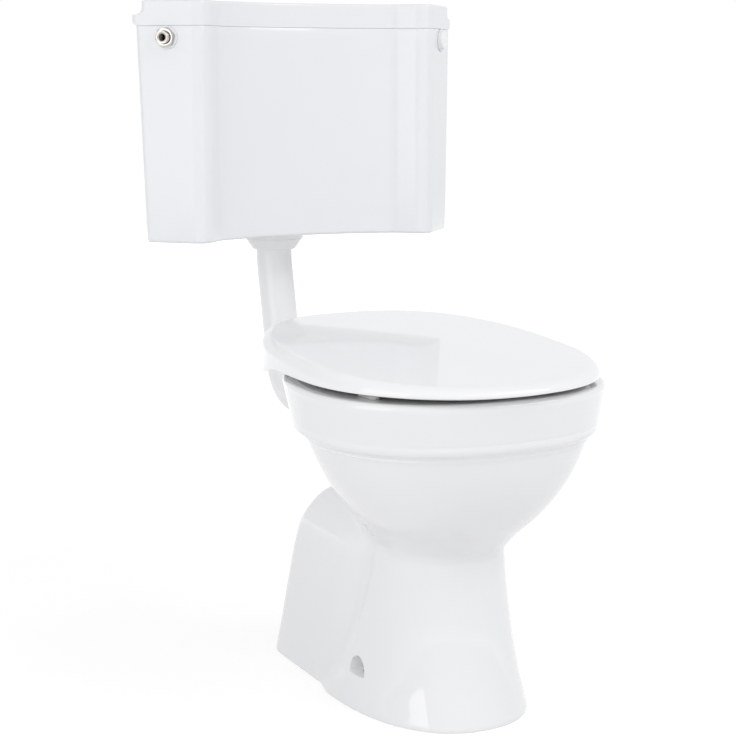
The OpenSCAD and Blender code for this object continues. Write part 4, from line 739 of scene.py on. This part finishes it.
materials["chrome"] = metal("nickel_chrome_plate", (0.56, 0.54, 0.52), 0.12)
materials["steel"] = metal("stainless_steel", (0.58, 0.58, 0.59), 0.28, (1, 1, 8))
materials["brass"] = metal("plated_brass", (0.5, 0.47, 0.44), 0.16, (6, 6, 1))
BUTTON_TOP, BUTTON_H, FLANGE = LID_TOP + 3, 10, 2.5
BEZEL_DEPTH = BUTTON_H + 8 + 2.4 + 0.5
inner_r = BUTTON_R + BEZEL_FIT
bezel_bottom = LID_TOP + FLANGE - BEZEL_DEPTH
bezel = turned("button_bezel_ring", eased(
    [[inner_r, LID_TOP], [inner_r, LID_TOP + FLANGE], [BEZEL_R + 3.5, LID_TOP + FLANGE - 0.4],
     [BEZEL_R + 3.5, LID_TOP], [BEZEL_R, LID_TOP], [BEZEL_R, bezel_bottom],
     [inner_r - 3, bezel_bottom], [inner_r - 3, bezel_bottom + 2.4], [inner_r, bezel_bottom + 2.4],
     [inner_r, LID_TOP - 0.1]],
    [0.5, 1.6, 0.5, 0.2, 0.4, 0.4, 0.3, 0.3], 6), (0, OUTLET_Y, 0), loop=True)
dress(bezel, "chrome", "lid", "button_bezel")
dish = np.linspace(0.3, BUTTON_R - 2, 14)
button_rows = np.concatenate([
    [[0.2, 0], [BUTTON_R - 0.3, 0], [BUTTON_R, 0.3]],
    eased([[BUTTON_R, 1], [BUTTON_R, BUTTON_H], [BUTTON_R - 3, BUTTON_H]], [1.4], 7)[:-1],
    np.column_stack([dish, BUTTON_H - 1.3 * (1 - (dish / (BUTTON_R - 1.5)) ** 2)])[::-1]])
button = turned("flush_button", button_rows, (0, OUTLET_Y, BUTTON_TOP - BUTTON_H))
dress(button, "chrome", "button", "push_button")

# ------------------------------------------------------------------ outlet collar and pipe nut
# Plastic nuts under the cistern: a wide collar that clamps the flush valve's flange, and a
# stepped nut below it that grips the flush pipe.
materials["pipe_plastic"], _ = glossy_white(
    "moulded_fittings", (0.93, 0.932, 0.936), 0.16, 0.00008, 0.00001)
COLLAR_R, COLLAR_H, NUT_H, PIPE_R, PIPE_WALL = 44.5, 11, 15, 25, 2
collar = turned("outlet_collar", eased(
    [[TAIL_BORE_R, TANK_Z - 2], [TAIL_BORE_R, TANK_Z - 0.05], [COLLAR_R, TANK_Z - 0.05],
     [COLLAR_R - 3.5, TANK_Z - COLLAR_H], [TAIL_BORE_R, TANK_Z - COLLAR_H],
     [TAIL_BORE_R, TANK_Z - 8]],
    [0.3, 1.2, 1.2, 0.3], 6), (0, OUTLET_Y, 0), sides=128, loop=True)
dress(collar, "pipe_plastic", "frame", "outlet_locknut")
nut_z = TANK_Z - COLLAR_H - NUT_H
pipe_nut = turned("flush_pipe_nut", eased(
    [[PIPE_R + 0.3, 2], [PIPE_R + 0.3, 0], [30.5, 0], [31.5, 2.5], [34, 5.5],
     [COLLAR_R - 4, NUT_H], [TAIL_BORE_R + 0.6, NUT_H], [TAIL_BORE_R + 0.6, 3], [PIPE_R + 0.3, 3]],
    [0.4, 1.2, 1.5, 2.2, 0.8, 0.4, 0.4], 6), (0, OUTLET_Y, nut_z), sides=128, loop=True)
dress(pipe_nut, "pipe_plastic", "frame", "pipe_nut")

# ------------------------------------------------------------------ flush pipe and cone
# A 50 mm plastic pipe that leaves the cistern upright, slopes forward and turns level into the
# horn, where a rubber cone is stretched over both.
PIPE_SLOPE, UPPER_Z, UPPER_BEND, LOWER_BEND = math.radians(12.75), 490, 120, 55
PIPE_END, PIPE_START = HORN_END + 4, TANK_Z - 15.3
lower_y = OUTLET_Y - (UPPER_Z - HORN_Z) * math.tan(PIPE_SLOPE)
corners = np.array([[OUTLET_Y, PIPE_START], [OUTLET_Y, UPPER_Z], [lower_y, HORN_Z],
                    [PIPE_END, HORN_Z]])


def bent(points, radii, steps):
    """A path through corners in a plane: straight runs joined by arcs of given radii, each arc
    starting at its radius times the tangent of half the turn before its corner."""
    pieces, at = [], points[0]
    for before, corner, after, radius in zip(points, points[1:], points[2:], radii):
        come = (corner - before) / np.linalg.norm(corner - before)
        leave = (after - corner) / np.linalg.norm(after - corner)
        turn_angle = math.acos(np.dot(come, leave))
        start = corner - come * radius * math.tan(turn_angle / 2)
        side = leave - come * np.dot(leave, come)
        side = side / np.linalg.norm(side)
        a = np.linspace(0, turn_angle, steps)[:, None]
        pieces += [mix(at, start, np.linspace(0, 1, 8)[:-1, None]),
                   start + radius * (np.sin(a) * come + (1 - np.cos(a)) * side)]
        at = pieces[-1][-1]
    pieces.append(mix(at, points[-1], np.linspace(0, 1, 8)[1:, None]))
    return np.concatenate(pieces)


path = bent(corners, [UPPER_BEND, LOWER_BEND], 28)
outside_rows = tube_rows(path[:, 0], path[:, 1], PIPE_R, 96)
inside_rows = tube_rows(path[:, 0], path[:, 1], PIPE_R - PIPE_WALL, 96)
pipe = surface("flush_pipe_tube", np.concatenate([outside_rows, inside_rows[::-1]]), loop=True)
dress(pipe, "pipe_plastic", "frame", "flush_pipe")


def rubber(name, colour, rough=0.6):
    """Soft rubber: a dull skin with a fine bloom of tone and a shallow grain."""
    material, shader, add, link = finish(name)
    place = add("ShaderNodeTexCoord").outputs["Object"]
    bloom = add("ShaderNodeTexNoise", [(place, "Vector")], Scale=60.0, Detail=5.0)
    tones = add("ShaderNodeMix", [(bloom.outputs["Fac"], "Factor")], data_type="RGBA")
    tones.inputs["A"].default_value = (*(c * 0.88 for c in colour), 1)
    tones.inputs["B"].default_value = (*(min(c * 1.06, 1) for c in colour), 1)
    link(tones.outputs["Result"], shader.inputs["Base Color"])
    grain = add("ShaderNodeTexNoise", [(place, "Vector")], Scale=900.0, Detail=2.0)
    dull = add("ShaderNodeMapRange", [(grain.outputs["Fac"], "Value")],
               **{"To Min": rough * 0.85, "To Max": rough * 1.15})
    link(dull.outputs["Result"], shader.inputs["Roughness"])
    skin = add("ShaderNodeBump", [(grain.outputs["Fac"], "Height")], Strength=1.0, Distance=0.00003)
    link(skin.outputs["Normal"], shader.inputs["Normal"])
    return material


materials["white_rubber"] = rubber("white_rubber", (0.72, 0.72, 0.71), 0.5)
materials["black_rubber"] = rubber("black_rubber", (0.035, 0.035, 0.035))
CONE_WALL, CONE_OVER, CONE_L = 5, 18, 45
cone = turned("flush_cone_sleeve", eased(
    [[HORN_R, 3], [HORN_R, 0], [HORN_R + CONE_WALL, 0], [HORN_R + CONE_WALL, CONE_OVER + 4],
     [PIPE_R + CONE_WALL, CONE_L - 8], [PIPE_R + CONE_WALL, CONE_L], [PIPE_R, CONE_L],
     [PIPE_R, CONE_OVER + 0.2], [HORN_R, CONE_OVER + 0.2], [HORN_R, 4]],
    [0.4, 2.0, 5, 5, 1.5, 0.4, 0.4, 0.4], 7),
    (0, HORN_END - CONE_OVER, HORN_Z), (0, 1, 0), sides=128, loop=True)
dress(cone, "white_rubber", "frame", "flush_cone")

# ------------------------------------------------------------------ water inlet and plug
# On the left a hexagonal nut clamps the valve's threaded tail; the matching hole on the right
# is closed by a push-in plastic plug. Both sit on rings on the cistern's cut-off sides.
inlet_place = (-(TANK_HALF_W + inlet_along), TANK_FRONT + inlet_along, inlet_z)
plug_place = (TANK_HALF_W + inlet_along, TANK_FRONT + inlet_along, inlet_z)
BOSS_H, INLET_NUT_H, NUT_FLATS, TAIL_OUT, TAIL_IN, THREAD = 2.5, 6, 23, 6, 20, 1.337


def softened(name, node, width):
    """A copy of a CAD node: its loose triangles are joined, flat ones merged, and the edges left
    are rounded over by a width in metres."""
    piece = bpy.data.objects.new(name, frame["nodes"][node].data.copy())
    bpy.context.scene.collection.objects.link(piece)
    work = bmesh.new()
    work.from_mesh(piece.data)
    bmesh.ops.remove_doubles(work, verts=work.verts, dist=1e-6)
    bmesh.ops.dissolve_limit(work, angle_limit=math.radians(1), verts=work.verts, edges=work.edges)
    work.to_mesh(piece.data)
    work.free()
    edge = piece.modifiers.new("edge", "BEVEL")
    edge.width, edge.segments, edge.limit_method = width, 3, "ANGLE"
    edge.angle_limit = math.radians(35)
    bpy.context.view_layer.update()
    finished = piece.evaluated_get(bpy.context.evaluated_depsgraph_get())
    mesh = bpy.data.meshes.new_from_object(finished)
    piece.modifiers.clear()
    piece.data = mesh
    mesh.shade_smooth()
    mesh.set_sharp_from_angle(angle=math.radians(40))
    return piece


def oriented(rows, place, along):
    turn_to = np.array(Vector((0, 0, 1)).rotation_difference(Vector(along)).to_matrix())
    return np.asarray(rows) @ turn_to.T + np.asarray(place, float)


def threaded(radius, depth, pitch, low, high, sides=96):
    """Rings along a screw: the radius less a depth times a triangle wave of the height over the
    pitch, less the share of a turn."""
    h = np.linspace(low, high, int((high - low) / pitch * 10))[:, None]
    t = np.arange(sides)[None, :] * 2 * np.pi / sides
    wave = np.abs(2 * ((h / pitch - t / (2 * np.pi)) % 1) - 1)
    ends = np.minimum(np.minimum(h - low, high - h) / pitch, 1)
    r = radius - depth * np.clip(wave * 1.3, 0, 1) * ends - 0.5 * (1 - ends)
    return np.stack([r * np.cos(t), r * np.sin(t), h + 0 * t], axis=-1)


out = -(BOSS_H + INLET_NUT_H + 0.5)
t = np.arange(96) * 2 * np.pi / 96


def circle(radius, h):
    return np.stack([radius * np.cos(t), radius * np.sin(t), h + 0 * t], axis=-1)[None]


tail = surface("inlet_thread", oriented(np.concatenate([
    circle(TAIL_R - 0.2, TAIL_IN), circle(TAIL_R, TAIL_IN - 0.4), circle(TAIL_R, out),
    threaded(TAIL_R + 0.3, 0.75, THREAD, out - TAIL_OUT, out)[::-1],
    circle(5.2, out - TAIL_OUT), circle(4.5, out - TAIL_OUT + 0.7), circle(4.5, TAIL_IN)]),
    inlet_place, (diagonal, diagonal, 0)), loop=True, sharp=50)
dress(tail, "brass", "frame", "inlet_tail")
hexagon = NUT_FLATS / 2 / np.cos((t % (np.pi / 3)) - np.pi / 6)


def hex_ring(radius, h):
    """A hexagon cut down to a circle where the nut's corners are turned off."""
    r = np.minimum(hexagon, radius)
    return np.stack([r * np.cos(t), r * np.sin(t), h + 0 * t], axis=-1)[None]


nut_low, nut_high, NUT_CORNER_R = -BOSS_H - INLET_NUT_H, -BOSS_H - 0.05, 13.3
nut = surface("inlet_hex_nut", oriented(np.concatenate([
    circle(TAIL_R + 0.06, nut_low + 1), circle(TAIL_R + 0.9, nut_low),
    circle(NUT_FLATS / 2 - 0.8, nut_low), hex_ring(NUT_FLATS / 2, nut_low + 0.25),
    hex_ring(NUT_CORNER_R - 0.5, nut_low + 0.9), hex_ring(NUT_CORNER_R, nut_low + 1.7),
    hex_ring(NUT_CORNER_R, nut_high - 1.0), hex_ring(NUT_CORNER_R - 0.5, nut_high - 0.4),
    circle(NUT_FLATS / 2, nut_high), circle(TAIL_R + 0.06, nut_high)]),
    inlet_place, (diagonal, diagonal, 0)), loop=True, sharp=25)
dress(nut, "chrome", "frame", "inlet_nut")
plug = turned("plug_cap", eased(
    [[0.2, -BOSS_H - 5], [NUT_FLATS / 2 + 1, -BOSS_H - 4.4], [NUT_FLATS / 2 + 1, -BOSS_H],
     [TAIL_R, -BOSS_H], [TAIL_R, 4.4], [TAIL_R + 2, 4.4], [TAIL_R + 2, 7], [TAIL_R, 10], [0.2, 10]],
    [2.2, 0.3, 0.3, 0.3, 0.3, 0.8, 0.6], 6), plug_place, (-diagonal, diagonal, 0))
dress(plug, "pipe_plastic", "frame", "blanking_plug")
dress(softened("inlet_collar_rings", "inlet_collars", 0.0008), "cistern_plastic", "frame",
      "inlet_collars")

# ------------------------------------------------------------------ hinge posts and nuts
# Each post is one plastic moulding: a round foot bolted down to the deck, an arm and a knuckle
# for the steel pin. Plastic nuts pull it down from under the deck.
for side in ("left", "right"):
    dress(softened(f"hinge_post_{side}_moulding", f"hinge_post_{side}", 0.0009),
          "seat_plastic", "frame", f"hinge_post_{side}")
materials["inner_plastic"], _ = glossy_white(
    "satin_acetal", (0.74, 0.75, 0.76), 0.32, 0.00003, 0.00002, 0.02)
dress(softened("hinge_bolt_nuts", "hinge_nuts", 0.0005), "inner_plastic", "frame", "hinge_nuts")

# ------------------------------------------------------------------ inside the cistern
# Flush valve, bell, lever and fill valve are acetal mouldings, the float is foamed plastic, and
# pins, washers and seals are steel and rubber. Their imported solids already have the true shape.
foam, shader, add, link = finish("blue_float_foam")
place = add("ShaderNodeTexCoord").outputs["Object"]
cells = add("ShaderNodeTexVoronoi", [(place, "Vector")], Scale=700.0)
cell_tone = add("ShaderNodeMix", [(cells.outputs["Distance"], "Factor")], data_type="RGBA")
cell_tone.inputs["A"].default_value = (0.16, 0.36, 0.6, 1)
cell_tone.inputs["B"].default_value = (0.24, 0.47, 0.72, 1)
link(cell_tone.outputs["Result"], shader.inputs["Base Color"])
shader.inputs["Roughness"].default_value = 0.55
dimples = add("ShaderNodeBump", [(cells.outputs["Distance"], "Height")],
              Strength=1.0, Distance=0.0001)
link(dimples.outputs["Normal"], shader.inputs["Normal"])
materials["float_foam"] = foam
for part in frame["record"]["subparts"]:
    cad = frame["nodes"][part["node"]]
    cad.data.materials.clear()
    cad.data.materials.append(materials[part["material_slot"]])

# ------------------------------------------------------------------ room, lights and camera
# A pale floor and a white backdrop, a broad lamp high on the right, a weaker one on the left, and
# a low one in front that nothing mirrors.
floor_mesh = bpy.data.meshes.new("floor")
FLOOR_HALF = 6.0
floor_mesh.from_pydata([(x * FLOOR_HALF, y * FLOOR_HALF, 0)
                        for x, y in ((-1, -1), (1, -1), (1, 1), (-1, 1))], [], [(0, 1, 2, 3)])
floor = bpy.data.objects.new("floor", floor_mesh)
bpy.context.scene.collection.objects.link(floor)
paint, shader, add, link = finish("pale_floor")
tree = paint.node_tree
shader.inputs["Base Color"].default_value = (0.8, 0.8, 0.8, 1)
shader.inputs["Roughness"].default_value = 0.9
rays = add("ShaderNodeLightPath")
seen = rays.outputs["Is Camera Ray"]
for ray_kind in ("Is Glossy Ray", "Is Transmission Ray"):
    seen = add("ShaderNodeMath", [(seen, 0), (rays.outputs[ray_kind], 1)],
               operation="MAXIMUM").outputs["Value"]
shaded = add("ShaderNodeBsdfDiffuse", Color=(0.42, 0.42, 0.42, 1))
place = add("ShaderNodeTexCoord").outputs["Object"]
away = add("ShaderNodeVectorMath", [(place, "Vector")], operation="LENGTH")
farther = add("ShaderNodeMapRange", [(away.outputs["Value"], "Value")],
              **{"From Min": 0.7, "From Max": 2.5, "To Min": 0.68, "To Max": 1.0})
glow = add("ShaderNodeEmission", [(farther.outputs["Result"], "Strength")], Color=(1, 1, 1, 1))
both_shades = add("ShaderNodeAddShader",
                  [(shaded.outputs["BSDF"], 0), (glow.outputs["Emission"], 1)])
pick = add("ShaderNodeMixShader", [(seen, 0), (shader.outputs["BSDF"], 1),
                                   (both_shades.outputs["Shader"], 2)])
link(pick.outputs["Shader"], tree.nodes["Material Output"].inputs["Surface"])
floor_mesh.materials.append(paint)

world = bpy.data.worlds.new("soft_room")
world.use_nodes = True
bpy.context.scene.world = world
nodes, links = world.node_tree.nodes, world.node_tree.links
background = nodes["Background"]
background.inputs["Color"].default_value = (0.97, 0.98, 1.0, 1)
background.inputs["Strength"].default_value = 0.64
white = nodes.new("ShaderNodeBackground")
white.inputs["Color"].default_value = (1, 1, 1, 1)
white.inputs["Strength"].default_value = 1.0
ray = nodes.new("ShaderNodeLightPath")
seen = ray.outputs["Is Camera Ray"]
for ray_kind in ("Is Transmission Ray", "Is Glossy Ray"):
    most = nodes.new("ShaderNodeMath")
    most.operation = "MAXIMUM"
    links.new(seen, most.inputs[0])
    links.new(ray.outputs[ray_kind], most.inputs[1])
    seen = most.outputs["Value"]
choose = nodes.new("ShaderNodeMixShader")
links.new(seen, choose.inputs["Fac"])
links.new(background.outputs["Background"], choose.inputs[1])
links.new(white.outputs["Background"], choose.inputs[2])
links.new(choose.outputs["Shader"], nodes["World Output"].inputs["Surface"])


def lamp(name, place, aim, size, power):
    """A square soft lamp at a place in metres, facing a point."""
    data = bpy.data.lights.new(name, "AREA")
    data.size, data.energy = size, power
    light = bpy.data.objects.new(name, data)
    bpy.context.scene.collection.objects.link(light)
    light.location = place
    light.rotation_mode = "QUATERNION"
    light.rotation_quaternion = (Vector(aim) - Vector(place)).to_track_quat("-Z", "Y")
    return light


lamp("key", (1.6, -1.9, 2.6), (0, 0, 0.4), 1.6, 27)
lamp("fill", (-2.4, -0.8, 1.2), (0, 0, 0.4), 1.8, 14)
lamp("low", (-0.8, -2.5, 0.4), (0, 0, 0.2), 1.4, 8).visible_glossy = False

CAMERA_PLACE = (-0.97669, -1.92594, 0.74899)
CAMERA_AHEAD = (0.4432, 0.8809, -0.1663)
camera_data = bpy.data.cameras.new("camera")
camera_data.sensor_width = 36
camera_data.lens = 84.46
camera_data.shift_x, camera_data.shift_y = -0.00072, -0.00374
camera = bpy.data.objects.new("camera", camera_data)
bpy.context.scene.collection.objects.link(camera)
camera.location = CAMERA_PLACE
camera.rotation_mode = "QUATERNION"
camera.rotation_quaternion = Vector(CAMERA_AHEAD).to_track_quat("-Z", "Y")
bpy.context.scene.camera = camera
bpy.context.scene.view_settings.view_transform = "Standard"

bpy.context.view_layer.update()
